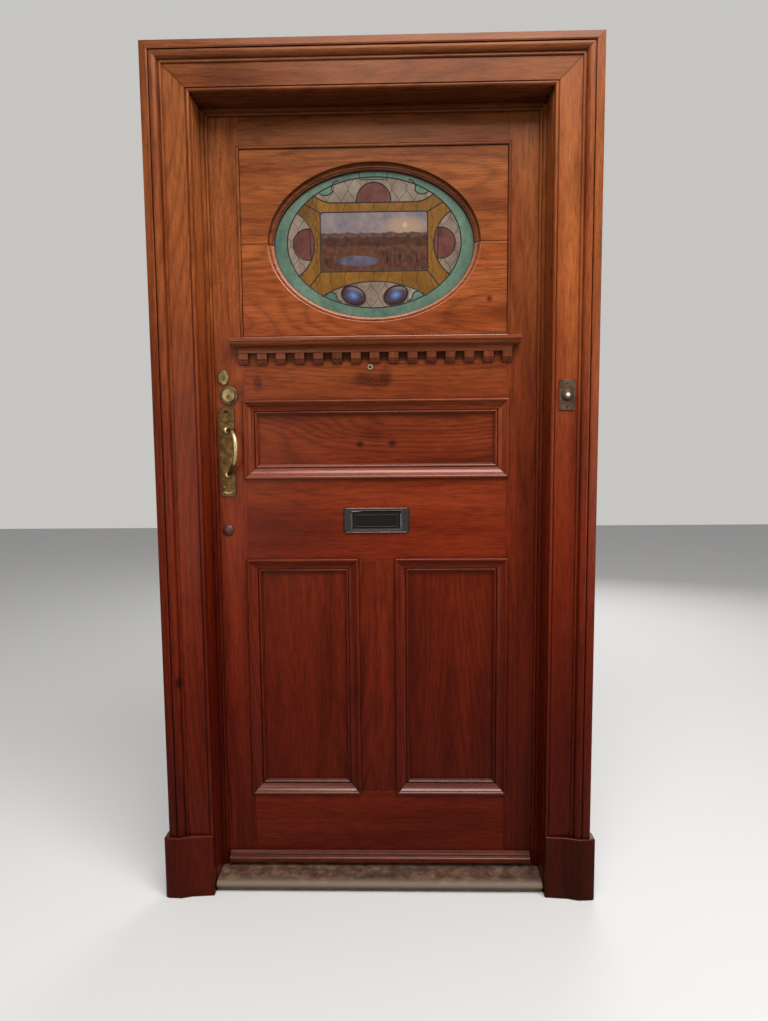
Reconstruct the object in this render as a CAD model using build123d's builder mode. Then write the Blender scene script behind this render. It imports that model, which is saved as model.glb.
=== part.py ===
from build123d import *
import os
from math import cos, radians, sin, sqrt

# Panelled front door in its frame, seen from outside, millimetres.
# X runs to the right, Y into the house, Z up. The origin is on the floor line, under the middle of the
# sill, in the plane of the wall face. The leaf opens inwards on hinges at its right-hand edge.

# Leaf
leaf_width = 920.0
leaf_height = 2125.0
leaf_thick = 44.0
gap_side = 3.5
gap_top = 3.0
gap_bottom = 4.0
stile_width = 96.0
top_rail_height = 97.0
oval_panel_height = 498.0
shelf_rail_height = 181.0
middle_panel_height = 206.0
letter_rail_height = 241.0
bottom_rail_height = 217.5
muntin_width = 116.0
panel_thick = 12.0
panel_set_back = 14.0
groove_depth = 10.0
panel_end_gap = 1.0
tenon_thick = 14.0
tenon_length = 25.0
tenon_shoulder = 12.0
mortice_end_gap = 2.0

# Frame
jamb_thick = 45.0
stop_width = 18.0
stop_depth = 11.5
stop_gap = 0.5
reveal_depth = 63.0
jamb_back_margin = 1.0
architrave_width = 122.0
architrave_margin = 2.5
plinth_height = 178.0
plinth_outer_margin = 13.0
sill_height = 36.0
sill_front = 14.0
sill_riser_front = 2.0
sill_nose = 20.0
sill_fall = 3.0
sill_side_gap = 0.3
mitre_gap = 0.25

# Bolection mouldings round the panels
moulding_width = 41.0
moulding_lap = 7.0
moulding_rise = 9.5
bead_width = 8.0
bead_depth = 6.0
bead_rise = 1.5

# Oval light
oval_half_width = 276.0
oval_half_height = 197.0
oval_board_thick = 36.0
oval_board_set_back = 2.5
oval_edge_width = 14.0
oval_edge_turn = 4.1
oval_joint_gap = 1.0
glass_set_back = 26.5
glazing_rebate = 10.0
glazing_play = 1.0
lead_thick = 5.0
lead_flange = 1.0
lead_width = 6.0
lead_heart = 2.0
lead_play = 0.2
glass_thick = 2.8
glass_play = 0.3
rim_width = 13.0
border_cuts = 44
rose_cuts = 18
jewel_cuts = 14
jewel_rise = 4.0
border_inner_half_width = 240.0
border_inner_half_height = 175.0
border_inner_rise = 6.0
top_corner = 47.0
side_corner = 28.0
foot_corner = 53.5
foot_side_corner = 29.5
rose_radius_top = 47.0
rose_radius_side = 42.0
rose_top_height = 120.0
rose_side_across = 182.0
jewel_across = 59.0
jewel_height = -136.0
jewel_half_width = 35.0
jewel_half_height = 25.5
jewel_tilt = 24.0
cartouche_half_width = 38.0
cartouche_height = 186.0
cartouche_drop = 12.0
picture_half_width = 148.0
picture_top = 89.0
picture_bottom = -70.0
amber_top = 114.0
amber_bottom = -97.0
amber_side = 165.0
glazing_bead_width = 13.0
glazing_bead_proud = 3.0

# Dentil shelf and weather bar
shelf_half_width = 399.0
shelf_depth = 38.0
shelf_fillet = 9.5
shelf_cyma_height = 25.5
shelf_cyma_depth = 20.0
shelf_foot = 4.0
dentil_foot = 1493.0
dentil_count = 15
dentil_pitch = 51.84
dentil_width = 27.0
dentil_height = 30.0
dentil_depth = 14.0
weather_bar_clearance = 4.0
weather_bar_top = 79.0
weather_bar_bottom = 49.0
weather_bar_depth = 20.0

# Letter plate
letter_above_rail_foot = 116.0
letter_plate_width = 185.0
letter_plate_height = 71.0
letter_plate_thick = 5.0
letter_corner = 9.0
letter_mouth_width = 139.0
letter_mouth_height = 50.0
letter_slot_margin = 5.0
flap_play = 0.6
flap_barrel_radius = 2.5
flap_lug = 4.0
flap_thick = 3.0
flap_set_back = 1.0
flap_pin_radius = 2.0
flap_pin_play = 0.08

# Door viewer and round boss
viewer_across = -13.0
viewer_height = 1484.0
viewer_flange_radius = 8.0
viewer_barrel_radius = 6.0
boss_across = -421.0
boss_below_handle = 97.0
boss_radius = 16.5
boss_proud = 8.5
boss_socket = 12.0

# Night latch
latch_across = -408.0
latch_height = 1410.0
latch_body_radius = 16.5
latch_face_radius = 18.0
latch_ring_radius = 25.5
latch_ring_proud = 6.0
latch_proud = 10.0
latch_plug_radius = 6.5
latch_plug_drop = 5.0
plug_play = 0.06
body_play = 0.1
latch_case_height = 66.0
latch_case_width = 88.0
latch_case_depth = 28.0
latch_bolt_height = 22.0
latch_bolt_thick = 12.0
latch_bolt_travel = 15.0
bolt_play = 0.4
knob_radius = 15.0
spindle_radius = 5.0
snib_out = 32.0
snib_rise = 20.0
snib_slot = 9.6
snib_travel = 8.0
keeper_width = 34.0
keeper_gap = 4.5

# Deadlock
deadlock_out = 14.0
deadlock_above_latch = 49.0
escutcheon_half_width = 14.5
escutcheon_half_height = 20.5
escutcheon_proud = 5.0
deadlock_body_radius = 10.0
deadlock_plug_radius = 7.0
deadlock_case_depth = 60.0
deadlock_case_thick = 14.0
deadlock_case_below = 24.0
deadlock_case_above = 56.0
forend_thick = 3.0
forend_width = 22.0
forend_over = 12.0
deadbolt_height = 26.0
deadbolt_thick = 9.0
deadbolt_rise = 32.0
deadbolt_travel = 18.0

# Pull handle
handle_out = 8.5
handle_below_latch = 32.0
handle_plate_height = 249.0
handle_plate_width = 42.0
handle_plate_thick = 3.5
handle_rim = 3.0
handle_rim_rise = 1.2
grip_top_drop = 65.0
grip_bend_drop = 110.0
grip_bottom_drop = 190.0
grip_radius = 5.5
grip_reach = 46.0
grip_crank = 36.0
handle_ball_radius = 8.0

# Hinges
hinge_length = 100.0
hinge_heights = (260.0, 1150.0, 1960.0)
hinge_flap_width = 34.0
hinge_flap_thick = 2.4
hinge_flap_gap = 0.8
knuckle_radius = 6.3
knuckle_count = 5
knuckle_gap = 0.4
hinge_pin_radius = 3.2
hinge_pin_play = 0.06
hinge_pin_over = 3.0

# Bell push on the right architrave
bell_across = 507.0
bell_height = 1395.0
bell_plate_width = 43.0
bell_plate_height = 80.0
bell_plate_thick = 3.0
bell_boss_radius = 15.0
bell_boss_rise = 7.0
bell_button_radius = 5.5
bell_button_proud = 3.5
bell_travel = 2.5
bell_play = 0.35

# Derived places
stop_front_y = reveal_depth
leaf_y = reveal_depth + stop_depth + stop_gap
leaf_back_y = leaf_y + leaf_thick
jamb_depth = leaf_back_y + jamb_back_margin
leaf_half = leaf_width / 2
leaf_bottom = sill_height + gap_bottom
leaf_top = leaf_bottom + leaf_height
jamb_x = leaf_half + gap_side
soffit_z = leaf_top + gap_top
stop_x = jamb_x - stop_width
stop_z = soffit_z - stop_width
stile_x = leaf_half - stile_width
muntin_x = muntin_width / 2
panel_y = leaf_y + panel_set_back
tenon_y = leaf_y + (leaf_thick - tenon_thick) / 2
bottom_opening_z = leaf_bottom + bottom_rail_height
oval_top_z = leaf_top - top_rail_height
oval_bottom_z = oval_top_z - oval_panel_height
middle_top_z = oval_bottom_z - shelf_rail_height
middle_bottom_z = middle_top_z - middle_panel_height
lower_top_z = middle_bottom_z - letter_rail_height
letter_height = lower_top_z + letter_above_rail_foot
oval_z = (oval_top_z + oval_bottom_z) / 2
oval_board_y = leaf_y + oval_board_set_back
glass_y = leaf_y + glass_set_back
architrave_x = jamb_x + architrave_margin
architrave_z = soffit_z + architrave_margin
architrave_outer_x = architrave_x + architrave_width
snib_across = latch_across - snib_out
snib_height = latch_height + snib_rise
deadlock_across = latch_across - deadlock_out
deadlock_height = latch_height + deadlock_above_latch
handle_across = latch_across - handle_out
handle_plate_top = latch_height - handle_below_latch
handle_plate_bottom = handle_plate_top - handle_plate_height
boss_height = handle_plate_bottom - boss_below_handle
grip_top = handle_plate_top - grip_top_drop
grip_bend = handle_plate_top - grip_bend_drop
grip_bottom = handle_plate_top - grip_bottom_drop

os.makedirs("parts", exist_ok=True)


def write(builder, label):
    builder.part.label = label
    export_step(builder.part, f"parts/{label}.step")


def facing(y):
    # A drawing plane parallel to the wall at depth y, X to the right and Z up, whose normal points outside.
    return Plane.XZ.offset(-y)


def block(x0, x1, y0, y1, z0, z1, mode=Mode.ADD):
    # A box between three pairs of limits, for use inside a part.
    with Locations(((x0 + x1) / 2, (y0 + y1) / 2, (z0 + z1) / 2)):
        Box(x1 - x0, y1 - y0, z1 - z0, mode=mode)


def bore(x, z, y0, y1, radius, mode=Mode.SUBTRACT):
    # A round hole or bar along Y between two depths, for use inside a part.
    with BuildSketch(facing(y0)) as ring:
        with Locations((x, z)):
            Circle(radius)
    extrude(ring.sketch, amount=y0 - y1, mode=mode)


def moulded_strip(draw, origin, across, length, width, mitres=(True, True)):
    # A straight moulding. Its section is drawn with the sight edge at 0 and the width along "across",
    # and it is cut at 45 degrees at each end that meets another strip at a corner.
    along = across.cross(Vector(0, -1, 0))
    with BuildPart() as strip:
        with BuildSketch(Plane(origin=origin - along * width, x_dir=across, z_dir=along)):
            with BuildLine():
                draw()
            make_face()
        extrude(amount=length + 2 * width)
        start = along + across if mitres[0] else along
        end = across - along if mitres[1] else -along
        start_gap = mitre_gap if mitres[0] else 0
        end_gap = mitre_gap if mitres[1] else 0
        split(bisect_by=Plane(origin=origin + along * start_gap, z_dir=start), keep=Keep.TOP)
        split(bisect_by=Plane(origin=origin + along * (length - end_gap), z_dir=end), keep=Keep.TOP)
    return strip.part


def moulded_frame(draw, x0, x1, z0, z1, y, width):
    # Four mitred strips round a rectangle: their sight edges lie on it and the strips lie outside it.
    wide = x1 - x0
    high = z1 - z0
    return [
        moulded_strip(draw, Vector(x0, y, z0), Vector(-1, 0, 0), high, width),
        moulded_strip(draw, Vector(x0, y, z1), Vector(0, 0, 1), wide, width),
        moulded_strip(draw, Vector(x1, y, z1), Vector(1, 0, 0), high, width),
        moulded_strip(draw, Vector(x1, y, z0), Vector(0, 0, -1), wide, width),
    ]


# Section drawings: the first coordinate runs from the sight edge outwards, the second out of the wall.

def draw_architrave():
    bead = Polyline((0, 0), (0, 14))
    roll = ThreePointArc(bead @ 1, (4.5, 20), (9, 15.5))
    flat = Polyline(roll @ 1, (11, 15.5), (11, 18), (68, 18))
    small = ThreePointArc(flat @ 1, (71.5, 22.5), (75.5, 19.5))
    rise = Line(small @ 1, (77, 19.5))
    torus = ThreePointArc(rise @ 1, (84, 28), (97, 28.5))
    band = Polyline(torus @ 1, (97, 24), (100, 24), (100, 29), (103.5, 30), (architrave_width, 26))
    Polyline(band @ 1, (architrave_width, 0), (0, 0))


def draw_stop():
    foot = Polyline((0, 0), (0, 4))
    ogee = ThreePointArc(foot @ 1, (2.5, 7.5), (6, 7.5))
    quirk = Polyline(ogee @ 1, (7.5, 6), (9, 7.5), (11, stop_depth), (stop_width, stop_depth))
    Polyline(quirk @ 1, (stop_width, 0), (0, 0))


def draw_bolection():
    low = panel_set_back
    lap_start = moulding_width - moulding_lap
    base = Polyline((0, 0), (0, 4), (3, 4), (3, 7))
    bead = ThreePointArc(base @ 1, (6.5, 10.5), (10, 8))
    quirk = Polyline(bead @ 1, (10, 6.5), (11.5, 6.5), (11.5, 11))
    hollow = ThreePointArc(quirk @ 1, (20, 13), (29, low + 5.5))
    step = Line(hollow @ 1, (31.5, low + 5.5))
    nose = ThreePointArc(step @ 1, (36.5, low + moulding_rise), (moulding_width, low + 5.5))
    Polyline(nose @ 1, (moulding_width, low), (lap_start, low), (lap_start, 0), (0, 0))


def draw_panel_bead():
    side = Line((0, 0), (0, bead_depth))
    crown = ThreePointArc(side @ 1, (bead_width / 2, bead_depth + bead_rise), (bead_width, bead_depth))
    Polyline(crown @ 1, (bead_width, 0), (0, 0))


# Jambs, with the pocket and strike recess of the deadlock and the recesses of the hinges
with BuildPart() as jamb_left:
    block(-jamb_x - jamb_thick, -jamb_x, 0, jamb_depth, 0, soffit_z)
    # Pocket for the deadbolt
    bolt_z = deadlock_height + deadbolt_rise
    lock_y = leaf_y + leaf_thick / 2
    block(-jamb_x - deadbolt_travel - 3, -jamb_x, lock_y - deadbolt_thick / 2 - 2,
          lock_y + deadbolt_thick / 2 + 2, bolt_z - deadbolt_height / 2 - 3,
          bolt_z + deadbolt_height / 2 + 3, mode=Mode.SUBTRACT)
    # Recess for the strike plate
    block(-jamb_x - forend_thick, -jamb_x, lock_y - forend_width / 2, lock_y + forend_width / 2,
          bolt_z - deadbolt_height, bolt_z + deadbolt_height, mode=Mode.SUBTRACT)
write(jamb_left, "jamb_left")

flap_x = jamb_x - gap_side / 2 + hinge_flap_gap / 2
pivot_x = jamb_x - gap_side / 2
pivot_y = jamb_depth + knuckle_radius + hinge_flap_gap
with BuildPart() as jamb_right:
    block(jamb_x, jamb_x + jamb_thick, 0, jamb_depth, 0, soffit_z)
    for height in hinge_heights:
        block(jamb_x, flap_x + hinge_flap_thick, leaf_back_y - hinge_flap_width, jamb_depth,
              height - hinge_length / 2, height + hinge_length / 2, mode=Mode.SUBTRACT)
write(jamb_right, "jamb_right")

with BuildPart() as jamb_head:
    block(-jamb_x - jamb_thick, jamb_x + jamb_thick, 0, jamb_depth, soffit_z, soffit_z + jamb_thick)
write(jamb_head, "jamb_head")

# Moulded stops planted round the frame, mitred at the head, which the leaf closes against
stop_back_y = leaf_y - stop_gap
with BuildPart() as door_stops:
    add(moulded_strip(draw_stop, Vector(-stop_x, stop_back_y, sill_height), Vector(-1, 0, 0),
                      stop_z - sill_height, stop_width, (False, True)))
    add(moulded_strip(draw_stop, Vector(-stop_x, stop_back_y, stop_z), Vector(0, 0, 1), 2 * stop_x,
                      stop_width))
    add(moulded_strip(draw_stop, Vector(stop_x, stop_back_y, stop_z), Vector(1, 0, 0),
                      stop_z - sill_height, stop_width, (True, False)))
write(door_stops, "door_stops")

# Architraves, mitred at the top corners and standing on the plinth blocks
leg_length = architrave_z - plinth_height
with BuildPart() as architrave_left:
    add(moulded_strip(draw_architrave, Vector(-architrave_x, 0, plinth_height), Vector(-1, 0, 0),
                      leg_length, architrave_width, (False, True)))
write(architrave_left, "architrave_left")

with BuildPart() as architrave_right:
    add(moulded_strip(draw_architrave, Vector(architrave_x, 0, architrave_z), Vector(1, 0, 0),
                      leg_length, architrave_width, (True, False)))
write(architrave_right, "architrave_right")

with BuildPart() as architrave_head:
    add(moulded_strip(draw_architrave, Vector(-architrave_x, 0, architrave_z), Vector(0, 0, 1),
                      2 * architrave_x, architrave_width))
write(architrave_head, "architrave_head")

# Plinth blocks: the front follows the architrave, proud under its outer bands and set back under its flat
plinth_outer_x = architrave_outer_x + plinth_outer_margin
for side, label in ((-1, "plinth_left"), (1, "plinth_right")):
    with BuildPart() as plinth:
        with BuildSketch(Plane.XY):
            with BuildLine():
                Polyline((side * architrave_x, 0), (side * architrave_x, -25),
                         (side * (architrave_x + 60), -30), (side * (plinth_outer_x - 45), -38),
                         (side * (plinth_outer_x - 8), -36), (side * plinth_outer_x, -32),
                         (side * plinth_outer_x, 0), (side * architrave_x, 0))
            make_face()
        extrude(amount=plinth_height)
        top_edges = plinth.faces().sort_by(Axis.Z)[-1].edges()
        fillet(top_edges.sort_by(Axis.Y)[:5], radius=5)
    write(plinth, label)

# Sill between the jambs, with a worn round nosing over a set-back riser
sill_x = jamb_x - sill_side_gap
with BuildPart() as sill:
    with BuildSketch(Plane.YZ.offset(-sill_x)):
        with BuildLine():
            front_top = sill_height - sill_fall
            nose_top = (-sill_front + sill_nose / 2, front_top)
            nose_low = (-sill_front + sill_nose / 2, front_top - sill_nose)
            top = Polyline((jamb_depth, 0), (jamb_depth, sill_height), (stop_front_y, sill_height), nose_top)
            nose = ThreePointArc(top @ 1, (-sill_front, front_top - sill_nose / 2), nose_low)
            Polyline(nose @ 1, (-sill_riser_front, front_top - sill_nose), (-sill_riser_front, 0),
                     (jamb_depth, 0))
        make_face()
    extrude(amount=2 * sill_x)
write(sill, "sill")

# Stiles with panel grooves, mortices and hardware pockets
opening_levels = (
    (oval_bottom_z, oval_top_z),
    (middle_bottom_z, middle_top_z),
    (bottom_opening_z, lower_top_z),
)
rail_levels = (
    (oval_top_z, leaf_top),
    (middle_top_z, oval_bottom_z),
    (lower_top_z, middle_bottom_z),
    (leaf_bottom, bottom_opening_z),
)


def cut_stile(side):
    # Panel grooves, rail mortices and the bead rebate on the inner edge of one stile.
    inner = side * stile_x
    for low, high in opening_levels:
        edges = sorted((inner, inner + side * groove_depth))
        block(edges[0], edges[1], panel_y, panel_y + panel_thick, low - groove_depth, high + groove_depth,
              mode=Mode.SUBTRACT)
    for low, high in rail_levels:
        edges = sorted((inner, inner + side * (tenon_length + mortice_end_gap)))
        block(edges[0], edges[1], tenon_y, tenon_y + tenon_thick, low + tenon_shoulder,
              high - tenon_shoulder, mode=Mode.SUBTRACT)
    edges = sorted((inner, inner + side * bead_width))
    block(edges[0], edges[1], leaf_y, leaf_y + bead_depth, oval_bottom_z - bead_width,
          oval_top_z + bead_width, mode=Mode.SUBTRACT)


with BuildPart() as lock_stile:
    block(-leaf_half, -stile_x, leaf_y, leaf_back_y, leaf_bottom, leaf_top)
    cut_stile(-1)
    # Hole for the rim cylinder, hole and mortice for the deadlock, socket for the round boss
    bore(latch_across, latch_height, leaf_y, leaf_back_y, latch_body_radius + body_play)
    bore(deadlock_across, deadlock_height, leaf_y, leaf_back_y, deadlock_body_radius + body_play)
    case_y = lock_y - deadlock_case_thick / 2
    block(-leaf_half, -leaf_half + deadlock_case_depth, case_y, case_y + deadlock_case_thick,
          deadlock_height - deadlock_case_below, deadlock_height + deadlock_case_above, mode=Mode.SUBTRACT)
    block(-leaf_half, -leaf_half + forend_thick, lock_y - forend_width / 2, lock_y + forend_width / 2,
          deadlock_height - deadlock_case_below - forend_over,
          deadlock_height + deadlock_case_above + forend_over, mode=Mode.SUBTRACT)
    bore(boss_across, boss_height, leaf_y, leaf_y + boss_socket, boss_radius / 2)
write(lock_stile, "lock_stile")

with BuildPart() as hinge_stile:
    block(stile_x, leaf_half, leaf_y, leaf_back_y, leaf_bottom, leaf_top)
    cut_stile(1)
    leaf_flap_x = pivot_x - hinge_flap_gap / 2
    for height in hinge_heights:
        block(leaf_flap_x - hinge_flap_thick, leaf_half, leaf_back_y - hinge_flap_width, leaf_back_y,
              height - hinge_length / 2, height + hinge_length / 2, mode=Mode.SUBTRACT)
write(hinge_stile, "hinge_stile")

# Rails and muntin
tenon_reach = stile_x + tenon_length


def rail(low, high, groove_below, groove_above):
    # A rail between the stiles, with a tenon at each end and grooves where it meets panels.
    block(-stile_x, stile_x, leaf_y, leaf_back_y, low, high)
    block(-tenon_reach, tenon_reach, tenon_y, tenon_y + tenon_thick, low + tenon_shoulder,
          high - tenon_shoulder)
    if groove_below:
        block(-stile_x, stile_x, panel_y, panel_y + panel_thick, low, low + groove_depth, mode=Mode.SUBTRACT)
    if groove_above:
        block(-stile_x, stile_x, panel_y, panel_y + panel_thick, high - groove_depth, high,
              mode=Mode.SUBTRACT)


with BuildPart() as top_rail:
    rail(oval_top_z, leaf_top, True, False)
    block(-stile_x - bead_width, stile_x + bead_width, leaf_y, leaf_y + bead_depth, oval_top_z,
          oval_top_z + bead_width, mode=Mode.SUBTRACT)
write(top_rail, "top_rail")

with BuildPart() as shelf_rail:
    rail(middle_top_z, oval_bottom_z, True, True)
    block(-stile_x - bead_width, stile_x + bead_width, leaf_y, leaf_y + bead_depth,
          oval_bottom_z - bead_width, oval_bottom_z, mode=Mode.SUBTRACT)
    bore(viewer_across, viewer_height, leaf_y, leaf_back_y, viewer_barrel_radius)
write(shelf_rail, "shelf_rail")

slot_half_width = letter_mouth_width / 2 + letter_slot_margin
slot_half_height = letter_mouth_height / 2 + letter_slot_margin
muntin_tenon = 30.0
with BuildPart() as letter_rail:
    rail(lower_top_z, middle_bottom_z, True, True)
    block(-slot_half_width, slot_half_width, leaf_y, leaf_back_y, letter_height - slot_half_height,
          letter_height + slot_half_height, mode=Mode.SUBTRACT)
    block(-muntin_x + tenon_shoulder, muntin_x - tenon_shoulder, tenon_y, tenon_y + tenon_thick,
          lower_top_z, lower_top_z + muntin_tenon + mortice_end_gap, mode=Mode.SUBTRACT)
write(letter_rail, "letter_rail")

with BuildPart() as bottom_rail:
    rail(leaf_bottom, bottom_opening_z, False, True)
    block(-muntin_x + tenon_shoulder, muntin_x - tenon_shoulder, tenon_y, tenon_y + tenon_thick,
          bottom_opening_z - muntin_tenon - mortice_end_gap, bottom_opening_z, mode=Mode.SUBTRACT)
write(bottom_rail, "bottom_rail")

with BuildPart() as muntin:
    block(-muntin_x, muntin_x, leaf_y, leaf_back_y, bottom_opening_z, lower_top_z)
    block(-muntin_x + tenon_shoulder, muntin_x - tenon_shoulder, tenon_y, tenon_y + tenon_thick,
          bottom_opening_z - muntin_tenon, lower_top_z + muntin_tenon)
    for side in (-1, 1):
        edges = sorted((side * muntin_x, side * (muntin_x - groove_depth)))
        block(edges[0], edges[1], panel_y, panel_y + panel_thick, bottom_opening_z, lower_top_z,
              mode=Mode.SUBTRACT)
write(muntin, "muntin")

# Flat panels in their grooves
tongue = groove_depth - panel_end_gap
panel_places = (
    ("middle_panel", -stile_x, stile_x, middle_bottom_z, middle_top_z),
    ("lower_panel_left", -stile_x, -muntin_x, bottom_opening_z, lower_top_z),
    ("lower_panel_right", muntin_x, stile_x, bottom_opening_z, lower_top_z),
)
for label, x0, x1, z0, z1 in panel_places:
    with BuildPart() as panel:
        block(x0 - tongue, x1 + tongue, panel_y, panel_y + panel_thick, z0 - tongue, z1 + tongue)
    write(panel, label)

# Bolection mouldings, four mitred strips round each panel, lapping over the frame of the leaf
sight = moulding_width - moulding_lap
moulding_places = (
    ("middle_moulding", -stile_x, stile_x, middle_bottom_z, middle_top_z),
    ("lower_moulding_left", -stile_x, -muntin_x, bottom_opening_z, lower_top_z),
    ("lower_moulding_right", muntin_x, stile_x, bottom_opening_z, lower_top_z),
)
for label, x0, x1, z0, z1 in moulding_places:
    with BuildPart() as moulding:
        add(moulded_frame(draw_bolection, x0 + sight, x1 - sight, z0 + sight, z1 - sight, panel_y,
                          moulding_width))
    write(moulding, label)

with BuildPart() as oval_panel_bead:
    add(moulded_frame(draw_panel_bead, -stile_x, stile_x, oval_bottom_z, oval_top_z, leaf_y + bead_depth,
                      bead_width))
write(oval_panel_bead, "oval_panel_bead")

# Oval panel: two thick boards with a rounded oval hole and a rebate for the light behind it
rebate_half_width = oval_half_width + glazing_rebate
rebate_half_height = oval_half_height + glazing_rebate
oval_back_y = oval_board_y + oval_board_thick
with BuildPart() as oval_boards:
    block(-stile_x + glass_play, stile_x - glass_play, oval_board_y, oval_back_y,
          oval_bottom_z + glass_play, oval_top_z - glass_play)
    block(-stile_x - tongue, stile_x + tongue, panel_y, panel_y + panel_thick, oval_bottom_z - tongue,
          oval_top_z + tongue)
    with BuildSketch(facing(oval_board_y)):
        with Locations((0, oval_z)):
            Ellipse(oval_half_width, oval_half_height)
    extrude(amount=-oval_board_thick, mode=Mode.SUBTRACT)
    # The worked edge of the hole, in two flats that follow a quarter round
    for near, far_in, wide, narrow in ((0, oval_edge_turn, oval_edge_width, oval_edge_turn),
                                       (oval_edge_turn, oval_edge_width, oval_edge_turn, 0)):
        with BuildSketch(facing(oval_board_y + near)) as front_outline:
            with Locations((0, oval_z)):
                Ellipse(oval_half_width + wide, oval_half_height + wide)
        with BuildSketch(facing(oval_board_y + far_in)) as back_outline:
            with Locations((0, oval_z)):
                Ellipse(oval_half_width + narrow, oval_half_height + narrow)
        loft([front_outline.sketch, back_outline.sketch], ruled=True, mode=Mode.SUBTRACT)
    with BuildSketch(facing(glass_y)):
        with Locations((0, oval_z)):
            Ellipse(rebate_half_width, rebate_half_height)
    extrude(amount=glass_y - oval_back_y, mode=Mode.SUBTRACT)

for label, normal in (("oval_board_upper", 1), ("oval_board_lower", -1)):
    with BuildPart() as board:
        add(oval_boards.part)
        split(bisect_by=Plane(origin=(0, 0, oval_z + normal * oval_joint_gap / 2), z_dir=(0, 0, normal)),
              keep=Keep.TOP)
    write(board, label)

# Leaded light. Its parts are drawn about the middle of the oval and set at their depth in the door.
light_half_width = rebate_half_width - glazing_play
light_half_height = rebate_half_height - glazing_play


def on_border(degrees, side=1):
    # A point on the inner edge of the border glass, on the right or, with side -1, on the left.
    return (side * border_inner_half_width * cos(radians(degrees)),
            border_inner_rise + border_inner_half_height * sin(radians(degrees)))


def light_plane(y):
    # The drawing plane of the light at depth y, with its origin in the middle of the oval.
    return Plane(origin=(0, y, oval_z), x_dir=(1, 0, 0), z_dir=(0, -1, 0))


def oval(half_width, half_height, sides, mode=Mode.ADD):
    # An oval in short straight cuts, as a glazier cuts it, for use inside a sketch.
    turns = [radians(360 * number / sides) for number in range(sides)]
    Polygon(*[(half_width * cos(turn), half_height * sin(turn)) for turn in turns], align=None, mode=mode)


# Fields of pale glass above, below and beside the amber frame, closed outside the border
far = 320.0
with BuildSketch() as top_field:
    with BuildLine() as top_lines:
        left_rise = ThreePointArc(on_border(top_corner, -1), (-141, 120), (-105, amber_top))
        Line((-105, amber_top), (105, amber_top))
        right_rise = ThreePointArc((105, amber_top), (141, 120), on_border(top_corner))
        Polyline(right_rise @ 1, (far * 0.6, far), (-far * 0.6, far), left_rise @ 0)
    make_face()
with BuildSketch() as bottom_field:
    with BuildLine() as bottom_lines:
        arch = ThreePointArc(on_border(-foot_corner, -1), (0, amber_bottom), on_border(-foot_corner))
        Polyline(arch @ 1, (far * 0.6, -far), (-far * 0.6, -far), arch @ 0)
    make_face()
with BuildSketch() as side_fields:
    for side in (-1, 1):
        with BuildLine():
            bulge = ThreePointArc(on_border(side_corner, side), (side * amber_side, 4),
                                  on_border(-foot_side_corner, side))
            Polyline(bulge @ 1, (side * far, -far * 0.5), (side * far, far * 0.5), bulge @ 0)
        make_face()
with BuildSketch() as inner_oval:
    with Locations((0, border_inner_rise)):
        oval(border_inner_half_width, border_inner_half_height, border_cuts)
with BuildSketch() as picture:
    with Locations((0, (picture_top + picture_bottom) / 2)):
        Rectangle(2 * picture_half_width, picture_top - picture_bottom)
with BuildSketch() as jewels:
    for side in (-1, 1):
        with Locations(Location((side * jewel_across, jewel_height, 0), (0, 0, side * jewel_tilt))):
            oval(jewel_half_width, jewel_half_height, jewel_cuts)
with BuildSketch() as cartouche:
    with Locations((0, cartouche_height)):
        Rectangle(2 * cartouche_half_width, 2 * cartouche_drop)
with BuildSketch() as hooks:
    for side in (-1, 1):
        with BuildLine():
            upper_start = ThreePointArc(on_border(top_corner + 4, side), (side * 130, 134),
                                        (side * 113, 145))
            upper = ThreePointArc(upper_start @ 1, (side * 114, 161), (side * 96, 172))
            Polyline(upper @ 1, (side * 140, 260), upper_start @ 0)
        make_face()
        with BuildLine():
            lower_start = ThreePointArc(on_border(-foot_corner - 2, side), (side * 121, -125),
                                        (side * 106, -134))
            lower = ThreePointArc(lower_start @ 1, (side * 103, -145), (side * 90, -151))
            Polyline(lower @ 1, (side * 110, -260), lower_start @ 0)
        make_face()
with BuildSketch() as roses:
    with Locations((0, rose_top_height)):
        oval(rose_radius_top, rose_radius_top, rose_cuts)
    with Locations((-rose_side_across, 4), (rose_side_across, 4)):
        oval(rose_radius_side, rose_radius_side, rose_cuts)


# The fields of each glass, cut from one another so that they share their outlines
with BuildSketch() as frame_field:
    add(inner_oval.sketch)
    for outline in (top_field, bottom_field, side_fields):
        add(outline.sketch, mode=Mode.SUBTRACT)
    add(picture.sketch, mode=Mode.SUBTRACT)
with BuildSketch() as rose_field:
    add(roses.sketch)
    add(inner_oval.sketch, mode=Mode.INTERSECT)
    add(frame_field.sketch, mode=Mode.SUBTRACT)
    add(picture.sketch, mode=Mode.SUBTRACT)
with BuildSketch() as ornament_field:
    add(cartouche.sketch)
    add(hooks.sketch)
    add(inner_oval.sketch, mode=Mode.INTERSECT)
    add(frame_field.sketch, mode=Mode.SUBTRACT)
with BuildSketch() as border_field:
    oval(light_half_width, light_half_height, border_cuts)
    add(inner_oval.sketch, mode=Mode.SUBTRACT)
    add(ornament_field.sketch)
with BuildSketch() as pale_field:
    add(inner_oval.sketch)
    for outline in (frame_field, picture, rose_field, ornament_field, jewels):
        add(outline.sketch, mode=Mode.SUBTRACT)

# Lead cames: broad flanges in front and behind, joined by a narrow heart between the panes
lead_lines = []
for edge in top_lines.edges() + bottom_lines.edges():
    if abs(edge.center().Y) < border_inner_half_height:
        lead_lines.append(edge)
for outline in (side_fields, hooks):
    lead_lines += [edge for edge in outline.sketch.edges() if edge.geom_type == GeomType.CIRCLE]


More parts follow.
